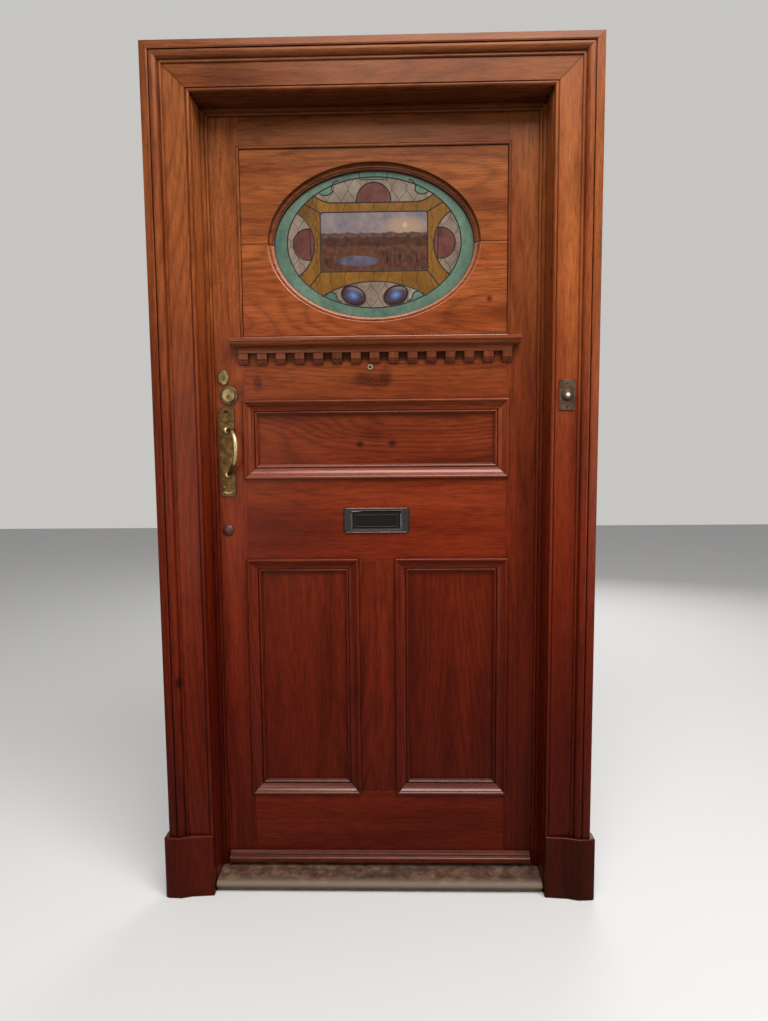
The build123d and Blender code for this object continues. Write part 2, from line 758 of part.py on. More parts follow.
def ring(across, height, half_width, half_height, width, cuts, tilt=0):
    # A lead of even width along an oval, for use inside a sketch.
    with BuildSketch(mode=Mode.PRIVATE) as band:
        with Locations(Location((across, height, 0), (0, 0, tilt))):
            oval(half_width + width / 2, half_height + width / 2, cuts)
            oval(half_width - width / 2, half_height - width / 2, cuts, mode=Mode.SUBTRACT)
    return band.sketch


def lead_net(width):
    # All the leads "width" wide, seen from the front.
    with BuildSketch(mode=Mode.PRIVATE) as rings:
        add(ring(0, rose_top_height, rose_radius_top, rose_radius_top, width, rose_cuts))
        for side in (-1, 1):
            add(ring(side * rose_side_across, 4, rose_radius_side, rose_radius_side, width, rose_cuts))
        add(frame_field.sketch, mode=Mode.SUBTRACT)
        with Locations((0, (picture_top + picture_bottom) / 2)):
            Rectangle(2 * picture_half_width, picture_top - picture_bottom, mode=Mode.SUBTRACT)
    with BuildSketch(mode=Mode.PRIVATE) as net:
        for edge in lead_lines:
            trace(edge, line_width=width)
        for side in (-1, 1):
            add(ring(side * jewel_across, jewel_height, jewel_half_width, jewel_half_height, width,
                     jewel_cuts, side * jewel_tilt))
        with Locations((0, cartouche_height)):
            Rectangle(2 * cartouche_half_width + width, 2 * cartouche_drop + width)
            Rectangle(2 * cartouche_half_width - width, 2 * cartouche_drop - width, mode=Mode.SUBTRACT)
        add(rings.sketch)
        for side in (-1, 1):
            for corner, border_angle in ((picture_top, (top_corner + side_corner) / 2),
                                         (picture_bottom, -(foot_corner + foot_side_corner) / 2)):
                with BuildLine() as mitre_lead:
                    Line((side * picture_half_width, corner), on_border(border_angle, side))
                trace(mitre_lead.edges(), line_width=width)
        add(inner_oval.sketch, mode=Mode.INTERSECT)
        with Locations((0, (picture_top + picture_bottom) / 2)):
            Rectangle(2 * picture_half_width, picture_top - picture_bottom, mode=Mode.SUBTRACT)
        add(ring(0, border_inner_rise, border_inner_half_width, border_inner_half_height, width,
                 border_cuts))
        with Locations((0, (picture_top + picture_bottom) / 2)):
            Rectangle(2 * picture_half_width + width, picture_top - picture_bottom + width)
            Rectangle(2 * picture_half_width - width, picture_top - picture_bottom - width,
                      mode=Mode.SUBTRACT)
        edge_band = rim_width * width / lead_width / 2
        add(ring(0, 0, light_half_width - edge_band, light_half_height - edge_band, 2 * edge_band,
                 border_cuts))
    return net.sketch


flange_net = lead_net(lead_width)
heart_net = lead_net(lead_heart)
# Outline of the grooves that hold the glass, a little wider than the hearts
groove_net = lead_net(lead_heart + 2 * lead_play)

with BuildPart() as lead_came:
    with BuildSketch(light_plane(glass_y)):
        add(flange_net)
    extrude(amount=-lead_flange)
    with BuildSketch(light_plane(glass_y + lead_flange)):
        add(heart_net)
    extrude(amount=2 * lead_flange - lead_thick)
    with BuildSketch(light_plane(glass_y + lead_thick - lead_flange)):
        add(flange_net)
    extrude(amount=-lead_flange)
write(lead_came, "lead_came")

pane_y = glass_y + (lead_thick - glass_thick) / 2
pane_places = (
    (border_field, "glass_teal"),
    (frame_field, "glass_amber"),
    (rose_field, "glass_rose"),
    (pale_field, "glass_pale"),
    (picture, "glass_centre"),
)
for field, label in pane_places:
    with BuildPart() as panes:
        with BuildSketch(light_plane(pane_y)):
            add(field.sketch)
            add(groove_net, mode=Mode.SUBTRACT)
        extrude(amount=-glass_thick)
    write(panes, label)

# Blue jewels: domed pieces, proud of their leads
with BuildPart() as glass_jewels:
    with BuildSketch(light_plane(pane_y + glass_thick)):
        add(jewels.sketch)
        add(inner_oval.sketch, mode=Mode.INTERSECT)
        add(groove_net, mode=Mode.SUBTRACT)
    extrude(amount=glass_thick)
    with BuildSketch(light_plane(pane_y)):
        add(jewels.sketch)
        add(inner_oval.sketch, mode=Mode.INTERSECT)
        add(flange_net, mode=Mode.SUBTRACT)
    extrude(amount=jewel_rise)
    chamfer(glass_jewels.faces().sort_by(Axis.Y)[:2].edges(), length=jewel_rise * 0.7)
write(glass_jewels, "glass_jewels")

# Oval bead that holds the light in from the inside
with BuildPart() as glazing_bead:
    with BuildSketch(light_plane(glass_y + lead_thick)):
        Ellipse(light_half_width, light_half_height)
        Ellipse(light_half_width - glazing_bead_width, light_half_height - glazing_bead_width,
                mode=Mode.SUBTRACT)
    extrude(amount=-(oval_back_y + glazing_bead_proud - glass_y - lead_thick))
    inner_rim = glazing_bead.faces().sort_by(Axis.Y)[-1].edges().sort_by(SortBy.LENGTH)[0]
    chamfer(inner_rim, length=4)
write(glazing_bead, "glazing_bead")

# Dentil shelf with returned ends, the blocks under it, and the weather bar
shelf_top = dentil_foot + dentil_height + shelf_fillet + shelf_cyma_height + shelf_foot
shelf_low = shelf_top - shelf_fillet - shelf_cyma_height
shelf_waist = shelf_depth - 3


def draw_shelf(start, sign):
    # The shelf's edge from its top to its foot, measured from "start" along the first coordinate.
    edge = start + sign * shelf_depth
    drop = Line((edge, shelf_top), (edge, shelf_top - shelf_fillet))
    step = Line(drop @ 1, (start + sign * shelf_waist, shelf_top - shelf_fillet))
    hollow = start + sign * (shelf_waist - shelf_cyma_depth / 2)
    middle = shelf_top - shelf_fillet - shelf_cyma_height / 2
    round_part = TangentArc(step @ 1, (hollow, middle), tangent=(0, -1))
    cyma = TangentArc(round_part @ 1, (start + sign * (shelf_waist - shelf_cyma_depth), shelf_low),
                      tangent=round_part % 1)
    return Line(cyma @ 1, (start + sign * (shelf_waist - shelf_cyma_depth), shelf_low - shelf_foot))


with BuildPart() as shelf_moulding:
    with BuildSketch(Plane.YZ.offset(-shelf_half_width)):
        with BuildLine():
            foot = draw_shelf(leaf_y, -1)
            Polyline(foot @ 1, (leaf_y, shelf_low - shelf_foot), (leaf_y, shelf_top),
                     (leaf_y - shelf_depth, shelf_top))
        make_face()
    extrude(amount=2 * shelf_half_width)
    with BuildSketch(facing(leaf_y)):
        with BuildLine():
            right = draw_shelf(shelf_half_width - shelf_depth, 1)
            left = draw_shelf(shelf_depth - shelf_half_width, -1)
            Line(right @ 1, left @ 1)
            Line((shelf_half_width, shelf_top), (-shelf_half_width, shelf_top))
        make_face()
    extrude(amount=shelf_depth, mode=Mode.INTERSECT)
write(shelf_moulding, "shelf_moulding")

with BuildPart() as dentils:
    for number in range(dentil_count):
        place = (number - (dentil_count - 1) / 2) * dentil_pitch - dentil_width / 2
        with BuildSketch(Plane(origin=(place, leaf_y, dentil_foot), x_dir=(0, -1, 0), z_dir=(-1, 0, 0))):
            with BuildLine():
                Polyline((0, 0), (0, dentil_height), (dentil_depth, dentil_height),
                         (dentil_depth, dentil_height - 16), (dentil_depth - 4, dentil_height - 20),
                         (dentil_depth - 4, 7), (dentil_depth - 7, 7), (dentil_depth - 7, 3),
                         (dentil_depth - 10, 3), (dentil_depth - 10, 0), (0, 0))
            make_face()
        extrude(amount=-dentil_width)
write(dentils, "dentils")

weather_bar_half = stop_x - weather_bar_clearance
with BuildPart() as weather_bar:
    with BuildSketch(Plane.YZ.offset(-weather_bar_half)):
        with BuildLine():
            shoulder = Polyline((leaf_y, weather_bar_bottom), (leaf_y, weather_bar_top),
                                (leaf_y - 6, weather_bar_top - 1), (leaf_y - 8, weather_bar_top - 7),
                                (leaf_y - 12, weather_bar_top - 8))
            drop = Line(shoulder @ 1, (leaf_y - 12.5, weather_bar_top - 14))
            nose = ThreePointArc(drop @ 1, (leaf_y - 17.5, weather_bar_top - 16),
                                 (leaf_y - weather_bar_depth, weather_bar_top - 20))
            Polyline(nose @ 1, (leaf_y - weather_bar_depth, weather_bar_bottom),
                     (leaf_y - weather_bar_depth + 6, weather_bar_bottom),
                     (leaf_y - weather_bar_depth + 6, weather_bar_bottom + 4),
                     (leaf_y - weather_bar_depth + 10, weather_bar_bottom + 4),
                     (leaf_y - weather_bar_depth + 10, weather_bar_bottom), (leaf_y, weather_bar_bottom))
        make_face()
    extrude(amount=2 * weather_bar_half)
write(weather_bar, "weather_bar")

# Letter plate with lugs behind it for the flap's pin
mouth_x = letter_mouth_width / 2
mouth_z = letter_mouth_height / 2
flap_axis_y = leaf_y - 0.5
flap_axis_z = letter_height + mouth_z - flap_barrel_radius - flap_play
lug_x = mouth_x + flap_lug
with BuildPart() as letter_plate:
    with BuildSketch(facing(leaf_y)):
        with Locations((0, letter_height)):
            RectangleRounded(letter_plate_width, letter_plate_height, letter_corner)
    extrude(amount=letter_plate_thick)
    chamfer(letter_plate.faces().sort_by(Axis.Y)[0].edges(), length=2.5)
    block(-lug_x, lug_x, leaf_y, leaf_y + 3.5, flap_axis_z - 4, flap_axis_z + 4)
    block(-mouth_x, mouth_x, leaf_y - letter_plate_thick, leaf_y + 4, letter_height - mouth_z,
          letter_height + mouth_z + flap_play, mode=Mode.SUBTRACT)
    with BuildSketch(Plane.YZ.offset(-lug_x)) as pin_hole:
        with Locations((flap_axis_y, flap_axis_z)):
            Circle(flap_pin_radius + flap_pin_play)
    extrude(amount=2 * lug_x, mode=Mode.SUBTRACT)
write(letter_plate, "letter_plate")

with BuildPart() as letter_flap:
    flap_x0 = mouth_x - flap_play
    block(-flap_x0, flap_x0, leaf_y - letter_plate_thick + flap_set_back,
          leaf_y - letter_plate_thick + flap_set_back + flap_thick, letter_height - mouth_z + flap_play,
          flap_axis_z)
    front = letter_flap.faces().sort_by(Axis.Y)[0]
    chamfer(front.edges().sort_by(Axis.Z)[0], length=1)
    with BuildSketch(Plane.YZ.offset(-flap_x0)):
        with Locations((flap_axis_y, flap_axis_z)):
            Circle(flap_barrel_radius)
    extrude(amount=2 * flap_x0)
    with BuildSketch(Plane.YZ.offset(-lug_x)):
        with Locations((flap_axis_y, flap_axis_z)):
            Circle(flap_pin_radius)
    extrude(amount=2 * lug_x)
write(letter_flap, "letter_flap")

# Door viewer through the shelf rail, with a flange on each face
with BuildPart() as door_viewer:
    bore(viewer_across, viewer_height, leaf_y, leaf_back_y, viewer_barrel_radius, mode=Mode.ADD)
    bore(viewer_across, viewer_height, leaf_y - 3, leaf_y, viewer_flange_radius, mode=Mode.ADD)
    bore(viewer_across, viewer_height, leaf_back_y, leaf_back_y + 3, viewer_flange_radius, mode=Mode.ADD)
    chamfer(door_viewer.faces().sort_by(Axis.Y)[0].edges(), length=1)
    bore(viewer_across, viewer_height, leaf_y - 3, leaf_y, viewer_barrel_radius - 2)
write(door_viewer, "door_viewer")


def turned(x, z, y, draw):
    # A piece turned about an axis along Y. Its section is drawn as radius and distance outwards from y.
    with BuildPart() as piece:
        with BuildSketch(Plane(origin=(x, y, z), x_dir=(1, 0, 0), z_dir=(0, 0, 1))) as section:
            with BuildLine():
                draw()
            make_face()
        revolve(axis=Axis((x, y, z), (0, 1, 0)))
    return piece.part


with BuildPart() as round_boss:
    bore(boss_across, boss_height, leaf_y - boss_proud, leaf_y, boss_radius, mode=Mode.ADD)
    chamfer(round_boss.faces().sort_by(Axis.Y)[0].edges(), length=boss_proud - 2)
    bore(boss_across, boss_height, leaf_y, leaf_y + boss_socket, boss_radius / 2, mode=Mode.ADD)
write(round_boss, "round_boss")


# Rim cylinder of the night latch: ring, raised face and body through the stile, with an offset plug
def draw_cylinder():
    Polyline((0, -latch_proud), (latch_face_radius, -latch_proud), (latch_face_radius, -latch_ring_proud),
             (latch_ring_radius - 2.5, -latch_ring_proud), (latch_ring_radius, -1.5), (latch_ring_radius, 0),
             (latch_body_radius, 0), (latch_body_radius, leaf_thick), (0, leaf_thick), (0, -latch_proud))


plug_z = latch_height - latch_plug_drop
with BuildPart() as latch_cylinder:
    add(turned(latch_across, latch_height, leaf_y, draw_cylinder))
    bore(latch_across, plug_z, leaf_y - latch_proud, leaf_back_y, latch_plug_radius + plug_play)
write(latch_cylinder, "latch_cylinder")

plug_front = leaf_y - latch_proud - 0.6
tail_end = leaf_back_y + 7
with BuildPart() as latch_plug:
    bore(latch_across, plug_z, plug_front, leaf_back_y - 1, latch_plug_radius, mode=Mode.ADD)
    block(latch_across - 0.7, latch_across + 0.7, plug_front, plug_front + 20, plug_z - 4.5, plug_z + 2,
          mode=Mode.SUBTRACT)
    block(latch_across - 4, latch_across + 4, leaf_back_y - 1, tail_end, plug_z - 1, plug_z + 1)
write(latch_plug, "latch_plug")

# Night latch case on the inner face, with its bolt, knob and snib
case_x0 = -leaf_half
case_x1 = case_x0 + latch_case_width
case_y1 = leaf_back_y + latch_case_depth
bolt_y = leaf_back_y + latch_case_depth / 2
bolt_rest = 0.6
bolt_length = 34.0
with BuildPart() as latch_case:
    block(case_x0, case_x1, leaf_back_y, case_y1, latch_height - latch_case_height / 2,
          latch_height + latch_case_height / 2)
    chamfer(latch_case.faces().sort_by(Axis.Y)[-1].edges(), length=2)
    block(case_x0, case_x0 + bolt_length + bolt_rest + 2, bolt_y - latch_bolt_thick / 2 - bolt_play,
          bolt_y + latch_bolt_thick / 2 + bolt_play, latch_height - latch_bolt_height / 2 - bolt_play,
          latch_height + latch_bolt_height / 2 + bolt_play, mode=Mode.SUBTRACT)
    bore(latch_across, plug_z, leaf_back_y, tail_end + 1.5, 5)
    bore(latch_across, plug_z, tail_end + 3, case_y1, spindle_radius + plug_play)
    block(snib_across - snib_slot, snib_across + snib_slot, case_y1 - 3, case_y1,
          snib_height - 4.5, snib_height + 4.5, mode=Mode.SUBTRACT)
write(latch_case, "latch_case")

bolt_x0 = case_x0 + bolt_rest
with BuildPart() as latch_bolt:
    block(bolt_x0, bolt_x0 + bolt_length, bolt_y - latch_bolt_thick / 2, bolt_y + latch_bolt_thick / 2,
          latch_height - latch_bolt_height / 2, latch_height + latch_bolt_height / 2)
    nose = latch_bolt.faces().sort_by(Axis.X)[0].edges().sort_by(Axis.Y)[0]
    chamfer(nose, length=latch_bolt_thick - 2, length2=latch_bolt_travel - 1)
write(latch_bolt, "latch_bolt")

with BuildPart() as latch_knob:
    bore(latch_across, plug_z, tail_end + 3.5, case_y1 + 0.5, spindle_radius, mode=Mode.ADD)
    bore(latch_across, plug_z, case_y1 + 0.5, case_y1 + 4, 9, mode=Mode.ADD)
    bore(latch_across, plug_z, case_y1 + 4, case_y1 + 16, knob_radius, mode=Mode.ADD)
    block(latch_across - knob_radius, latch_across - 5, case_y1 + 8, case_y1 + 16, plug_z - knob_radius,
          plug_z + knob_radius, mode=Mode.SUBTRACT)
    block(latch_across + 5, latch_across + knob_radius, case_y1 + 8, case_y1 + 16, plug_z - knob_radius,
          plug_z + knob_radius, mode=Mode.SUBTRACT)
write(latch_knob, "latch_knob")

snib_rest = snib_across - snib_travel / 2
with BuildPart() as latch_snib:
    block(snib_rest - 5, snib_rest + 5, case_y1 - 2.6, case_y1 + 3, snib_height - 4, snib_height + 4)
write(latch_snib, "latch_snib")

# Keeper on the back of the jamb, with its mouth towards the bolt
keeper_x1 = -jamb_x - (keeper_gap - gap_side)
keeper_x0 = keeper_x1 - keeper_width
with BuildPart() as latch_keeper:
    block(keeper_x0, keeper_x1, jamb_depth, case_y1, latch_height - 30, latch_height + 30)
    chamfer(latch_keeper.faces().sort_by(Axis.Y)[-1].edges().filter_by(Axis.Z), length=3)
    block(keeper_x0 + 12, keeper_x1, bolt_y - latch_bolt_thick / 2 - 2, bolt_y + latch_bolt_thick / 2 + 2,
          latch_height - latch_bolt_height / 2 - 2, latch_height + latch_bolt_height / 2 + 2,
          mode=Mode.SUBTRACT)
write(latch_keeper, "latch_keeper")

# Mortice deadlock: case and forend in the stile, oval cylinder, plug and bolt
case_low = deadlock_height - deadlock_case_below
case_high = deadlock_height + deadlock_case_above
deadbolt_length = 38.0
deadbolt_z = deadlock_height + deadbolt_rise
with BuildPart() as deadlock_case:
    block(-leaf_half, -leaf_half + forend_thick, lock_y - forend_width / 2, lock_y + forend_width / 2,
          case_low - forend_over, case_high + forend_over)
    block(-leaf_half + forend_thick, -leaf_half + deadlock_case_depth, case_y, case_y + deadlock_case_thick,
          case_low, case_high)
    block(-leaf_half, -leaf_half + deadbolt_length + 3, lock_y - deadbolt_thick / 2 - bolt_play,
          lock_y + deadbolt_thick / 2 + bolt_play, deadbolt_z - deadbolt_height / 2 - bolt_play,
          deadbolt_z + deadbolt_height / 2 + bolt_play, mode=Mode.SUBTRACT)
    bore(deadlock_across, deadlock_height, case_y, case_y + deadlock_case_thick,
         deadlock_body_radius + body_play)
write(deadlock_case, "deadlock_case")

with BuildPart() as deadlock_cylinder:
    with BuildSketch(facing(leaf_y)):
        with Locations((deadlock_across, deadlock_height)):
            Ellipse(escutcheon_half_width, escutcheon_half_height)
    extrude(amount=escutcheon_proud)
    chamfer(deadlock_cylinder.faces().sort_by(Axis.Y)[0].edges(), length=1.5)
    bore(deadlock_across, deadlock_height, leaf_y, leaf_back_y, deadlock_body_radius, mode=Mode.ADD)
    bore(deadlock_across, deadlock_height, leaf_back_y, leaf_back_y + 3, escutcheon_half_width,
         mode=Mode.ADD)
    bore(deadlock_across, deadlock_height, leaf_y - escutcheon_proud, leaf_y + 26,
         deadlock_plug_radius + plug_play)
write(deadlock_cylinder, "deadlock_cylinder")

with BuildPart() as deadlock_plug:
    bore(deadlock_across, deadlock_height, leaf_y - escutcheon_proud - 0.8, leaf_y + 25,
         deadlock_plug_radius, mode=Mode.ADD)
    block(deadlock_across - 0.7, deadlock_across + 0.7, leaf_y - escutcheon_proud - 0.8, leaf_y + 15,
          deadlock_height - 5, deadlock_height + 3, mode=Mode.SUBTRACT)
write(deadlock_plug, "deadlock_plug")

with BuildPart() as deadlock_bolt:
    block(-leaf_half + bolt_rest, -leaf_half + bolt_rest + deadbolt_length, lock_y - deadbolt_thick / 2,
          lock_y + deadbolt_thick / 2, deadbolt_z - deadbolt_height / 2, deadbolt_z + deadbolt_height / 2)
    chamfer(deadlock_bolt.faces().sort_by(Axis.X)[0].edges().filter_by(Axis.Z), length=1)
write(deadlock_bolt, "deadlock_bolt")

with BuildPart() as lock_strike:
    block(-jamb_x - forend_thick, -jamb_x, lock_y - forend_width / 2, lock_y + forend_width / 2,
          deadbolt_z - deadbolt_height, deadbolt_z + deadbolt_height)
    block(-jamb_x - forend_thick, -jamb_x, lock_y - deadbolt_thick / 2 - 2, lock_y + deadbolt_thick / 2 + 2,
          deadbolt_z - deadbolt_height / 2 - 3, deadbolt_z + deadbolt_height / 2 + 3, mode=Mode.SUBTRACT)
write(lock_strike, "lock_strike")

# Pull handle: long rimmed plate, two bosses and a grip that bows out and towards the hinges, all one casting
plate_face = leaf_y - handle_plate_thick
plate_mid = (handle_plate_top + handle_plate_bottom) / 2
with BuildPart() as pull_handle:
    with BuildSketch(facing(leaf_y)):
        with Locations((handle_across, plate_mid)):
            RectangleRounded(handle_plate_width, handle_plate_top - handle_plate_bottom, 9)
    extrude(amount=handle_plate_thick + handle_rim_rise)
    with BuildSketch(facing(plate_face - handle_rim_rise)) as field:
        with Locations((handle_across, plate_mid)):
            RectangleRounded(handle_plate_width - 2 * handle_rim,
                             handle_plate_top - handle_plate_bottom - 2 * handle_rim, 7)
    extrude(amount=-handle_rim_rise, mode=Mode.SUBTRACT)
    with BuildSketch(facing(plate_face)):
        with Locations((handle_across, handle_plate_top - 13)):
            Ellipse(6.5, 4)
    extrude(amount=-2, mode=Mode.SUBTRACT)
    for z, radius in ((grip_top, handle_ball_radius + 1), (grip_bottom, handle_ball_radius - 1)):
        with Locations((handle_across, plate_face - radius + 2, z)):
            Sphere(radius, rotation=(90, 0, 0))
    # The grip lies in an upright plane that leans from the plate towards the middle of the door
    reach = sqrt(grip_crank ** 2 + grip_reach ** 2)
    lean = Vector(grip_crank, -grip_reach, 0).normalized()
    bend_foot = Vector(handle_across, plate_face - 6, grip_bend)
    rise = Vector(0, 0, grip_top - grip_bend)
    fall = Vector(0, 0, grip_bottom - grip_bend)
    arc_centre = (reach ** 2 - rise.Z ** 2) / (2 * reach)
    arc_middle = (reach - arc_centre) * sin(radians(45))
    with BuildLine() as grip:
        outward = ThreePointArc(bend_foot + rise,
                                bend_foot + lean * (arc_centre + arc_middle) + Vector(0, 0, arc_middle),
                                bend_foot + lean * reach)
        TangentArc(outward @ 1, bend_foot + fall, tangent=(0, 0, -1))
    with BuildSketch(Plane(origin=grip.line @ 0, z_dir=grip.line % 0)):
        Circle(grip_radius)
    sweep()
write(pull_handle, "pull_handle")


# Butt hinges: knuckles shared between the leaf and the frame, round one pin each
def knuckles(numbers, flap_side):
    # The knuckles with the given numbers on every hinge, and the flap that carries them.
    step = hinge_length / knuckle_count
    flap_edge = pivot_x + flap_side * hinge_flap_gap / 2
    edges = sorted((flap_edge, flap_edge + flap_side * hinge_flap_thick))
    for height in hinge_heights:
        low = height - hinge_length / 2
        block(edges[0], edges[1], leaf_back_y - hinge_flap_width, pivot_y - knuckle_radius - 0.9, low,
              low + hinge_length)
        for number in numbers:
            z0 = low + number * step + knuckle_gap / 2
            z1 = low + (number + 1) * step - knuckle_gap / 2
            block(edges[0], edges[1], leaf_back_y - hinge_flap_width, pivot_y, z0, z1)
            with BuildSketch(Plane.XY.offset(z0)) as ring:
                with Locations((pivot_x, pivot_y)):
                    Circle(knuckle_radius)
            extrude(ring.sketch, amount=z1 - z0)
        with BuildSketch(Plane.XY.offset(low)) as hole:
            with Locations((pivot_x, pivot_y)):
                Circle(hinge_pin_radius + hinge_pin_play)
        extrude(hole.sketch, amount=hinge_length, mode=Mode.SUBTRACT)


with BuildPart() as frame_hinge_leaves:
    knuckles((0, 2, 4), 1)
write(frame_hinge_leaves, "frame_hinge_leaves")

with BuildPart() as leaf_hinge_leaves:
    knuckles((1, 3), -1)
write(leaf_hinge_leaves, "leaf_hinge_leaves")

with BuildPart() as hinge_pins:
    for height in hinge_heights:
        for end in (-1, 1):
            with Locations((pivot_x, pivot_y, height + end * (hinge_length / 2 + hinge_pin_over / 2))):
                Cylinder(knuckle_radius - 1, hinge_pin_over)
        with Locations((pivot_x, pivot_y, height)):
            Cylinder(hinge_pin_radius, hinge_length)
write(hinge_pins, "hinge_pins")

# Bell push on the right architrave: dished boss on a plate, with a pearl button
bell_face = -18.0
bell_front = bell_face - bell_plate_thick - bell_boss_rise
with BuildPart() as bell_plate:
    with BuildSketch(facing(bell_face)):
        with Locations((bell_across, bell_height)):
            RectangleRounded(bell_plate_width, bell_plate_height, 4)
    extrude(amount=bell_plate_thick)
    chamfer(bell_plate.faces().sort_by(Axis.Y)[0].edges(), length=1)
    bore(bell_across, bell_height, bell_front, bell_face, bell_boss_radius, mode=Mode.ADD)
    chamfer(bell_plate.faces().sort_by(Axis.Y)[0].edges(), length=4)
    bore(bell_across, bell_height, bell_front, bell_face, bell_button_radius + bell_play)
    bore(bell_across, bell_height, bell_face - 5.5, bell_face, bell_button_radius + 1.5 + bell_play)
write(bell_plate, "bell_plate")

button_front = bell_front - bell_button_proud
with BuildPart() as bell_button:
    bore(bell_across, bell_height, button_front, bell_face - 3.4, bell_button_radius, mode=Mode.ADD)
    chamfer(bell_button.faces().sort_by(Axis.Y)[0].edges(), length=2)
    bore(bell_across, bell_height, bell_face - 5, bell_face - 3.4, bell_button_radius + 1.5, mode=Mode.ADD)
write(bell_button, "bell_button")
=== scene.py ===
import bpy
import random
from math import atan2, cos, pi, radians, sin, sqrt
from mathutils import Matrix, Vector


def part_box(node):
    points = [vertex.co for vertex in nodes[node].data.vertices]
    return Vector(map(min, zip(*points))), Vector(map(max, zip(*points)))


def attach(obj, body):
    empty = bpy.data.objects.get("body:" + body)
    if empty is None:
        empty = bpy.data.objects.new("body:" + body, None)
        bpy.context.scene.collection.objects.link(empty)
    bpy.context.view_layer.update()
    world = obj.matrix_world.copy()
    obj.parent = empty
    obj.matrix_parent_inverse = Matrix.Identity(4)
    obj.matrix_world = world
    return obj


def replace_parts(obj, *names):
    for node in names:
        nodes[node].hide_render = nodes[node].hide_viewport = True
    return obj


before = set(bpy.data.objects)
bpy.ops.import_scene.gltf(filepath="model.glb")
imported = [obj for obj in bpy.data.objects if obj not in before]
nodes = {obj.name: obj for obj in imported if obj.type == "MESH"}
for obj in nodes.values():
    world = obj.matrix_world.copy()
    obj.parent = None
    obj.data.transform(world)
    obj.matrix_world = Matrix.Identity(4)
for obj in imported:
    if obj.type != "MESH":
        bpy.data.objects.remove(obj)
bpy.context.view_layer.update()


# Jambs and stops. Softwood stained and varnished red-brown, more orange and paler towards the head. Each is
# the joiner's member with its arrises worn round.
door_height = 2.3
marked_depth = 0.09
weld = 0.00002
flat_enough = radians(1)


def add_node(tree, kind, **settings):
    made = tree.nodes.new(kind)
    for key, value in settings.items():
        setattr(made, key, value)
    return made


def new_material(name):
    # A material, its tree, its shader and the coordinates that its patterns read.
    made = bpy.data.materials.new(name)
    made.use_nodes = True
    tree = made.node_tree
    return made, tree, tree.nodes["Principled BSDF"], add_node(tree, "ShaderNodeTexCoord").outputs["Object"]


def stretched(tree, place, scale=(1, 1, 1), shift=(0, 0, 0)):
    made = add_node(tree, "ShaderNodeMapping")
    made.inputs["Location"].default_value = shift
    made.inputs["Scale"].default_value = scale
    tree.links.new(place, made.inputs["Vector"])
    return made.outputs["Vector"]


def noise(tree, vector, scale, detail, rough=0.55, distortion=0.0):
    made = add_node(tree, "ShaderNodeTexNoise")
    made.inputs["Scale"].default_value = scale
    made.inputs["Detail"].default_value = detail
    made.inputs["Roughness"].default_value = rough
    made.inputs["Distortion"].default_value = distortion
    tree.links.new(vector, made.inputs["Vector"])
    return made.outputs["Fac"]


def ramp(tree, source, *stops):
    # Grey levels or colours along a value, given as pairs of place and level.
    made = add_node(tree, "ShaderNodeValToRGB")
    points = made.color_ramp.elements
    while len(points) < len(stops):
        points.new(0.5)
    for point, (place, colour) in zip(points, stops):
        point.position = place
        point.color = (colour, colour, colour, 1) if isinstance(colour, (int, float)) else (*colour, 1)
    tree.links.new(source, made.inputs["Fac"])
    return made.outputs["Color"]


def mix(tree, kind, amount, a, b):
    made = add_node(tree, "ShaderNodeMix", data_type="RGBA", blend_type=kind)
    for socket, value in ((made.inputs[0], amount), (made.inputs[6], a), (made.inputs[7], b)):
        if hasattr(value, "is_linked"):
            tree.links.new(value, socket)
        else:
            socket.default_value = value
    return made.outputs[2]


def calc(tree, operation, a, b, c=0.0):
    made = add_node(tree, "ShaderNodeMath", operation=operation)
    for socket, value in zip(made.inputs, (a, b, c)):
        if hasattr(value, "is_linked"):
            tree.links.new(value, socket)
        else:
            socket.default_value = value
    return made.outputs[0]


def linear(red, green, blue):
    # A colour read off in 0 to 255 steps, as the shader wants it.
    return tuple((level / 255 / 12.92) if level < 11 else ((level / 255 + 0.055) / 1.055) ** 2.4
                 for level in (red, green, blue))


def vector_step(tree, operation, source, other=(0, 0, 0), output="Vector"):
    made = add_node(tree, "ShaderNodeVectorMath", operation=operation)
    made.inputs[1].default_value = other
    tree.links.new(source, made.inputs[0])
    return made.outputs[output]


def crevice_shade(tree, reach):
    # Painted shade: dark in corners and quirks, white on open faces.
    made = add_node(tree, "ShaderNodeAmbientOcclusion", samples=6)
    made.inputs["Distance"].default_value = reach
    return made.outputs["AO"]


def emboss(tree, gloss, height, strength, depth):
    relief = add_node(tree, "ShaderNodeBump")
    relief.inputs["Strength"].default_value = strength
    relief.inputs["Distance"].default_value = depth
    tree.links.new(height, relief.inputs["Height"])
    tree.links.new(relief.outputs["Normal"], gloss.inputs["Normal"])


def spot_mask(tree, place, x, z, across, high, soft=1.6):
    # White at the middle of an oval patch on the door's face, falling to black outside it.
    local = vector_step(tree, "SUBTRACT", place, (x, 0, z))
    scaled = vector_step(tree, "MULTIPLY", local, (1 / across, 0, 1 / high))
    far = vector_step(tree, "LENGTH", scaled, output="Value")
    return ramp(tree, calc(tree, "DIVIDE", far, soft), (0.0, 1.0), (0.45, 0.8), (1.0, 0.0))


def dark_line(tree, place, x, z, degrees, length, half_width):
    # White along a short straight line on the door's face, black away from it.
    local = vector_step(tree, "SUBTRACT", place, (x, 0, z))
    reaches = []
    for turn, reach in ((degrees, length / 2), (degrees + 90, half_width)):
        towards = (cos(radians(turn)) / reach, 0, sin(radians(turn)) / reach)
        reaches.append(calc(tree, "ABSOLUTE", vector_step(tree, "DOT_PRODUCT", local, towards, "Value"), 0))
    return ramp(tree, calc(tree, "MAXIMUM", *reaches), (0.0, 1.0), (0.5, 0.9), (1.0, 0.0))


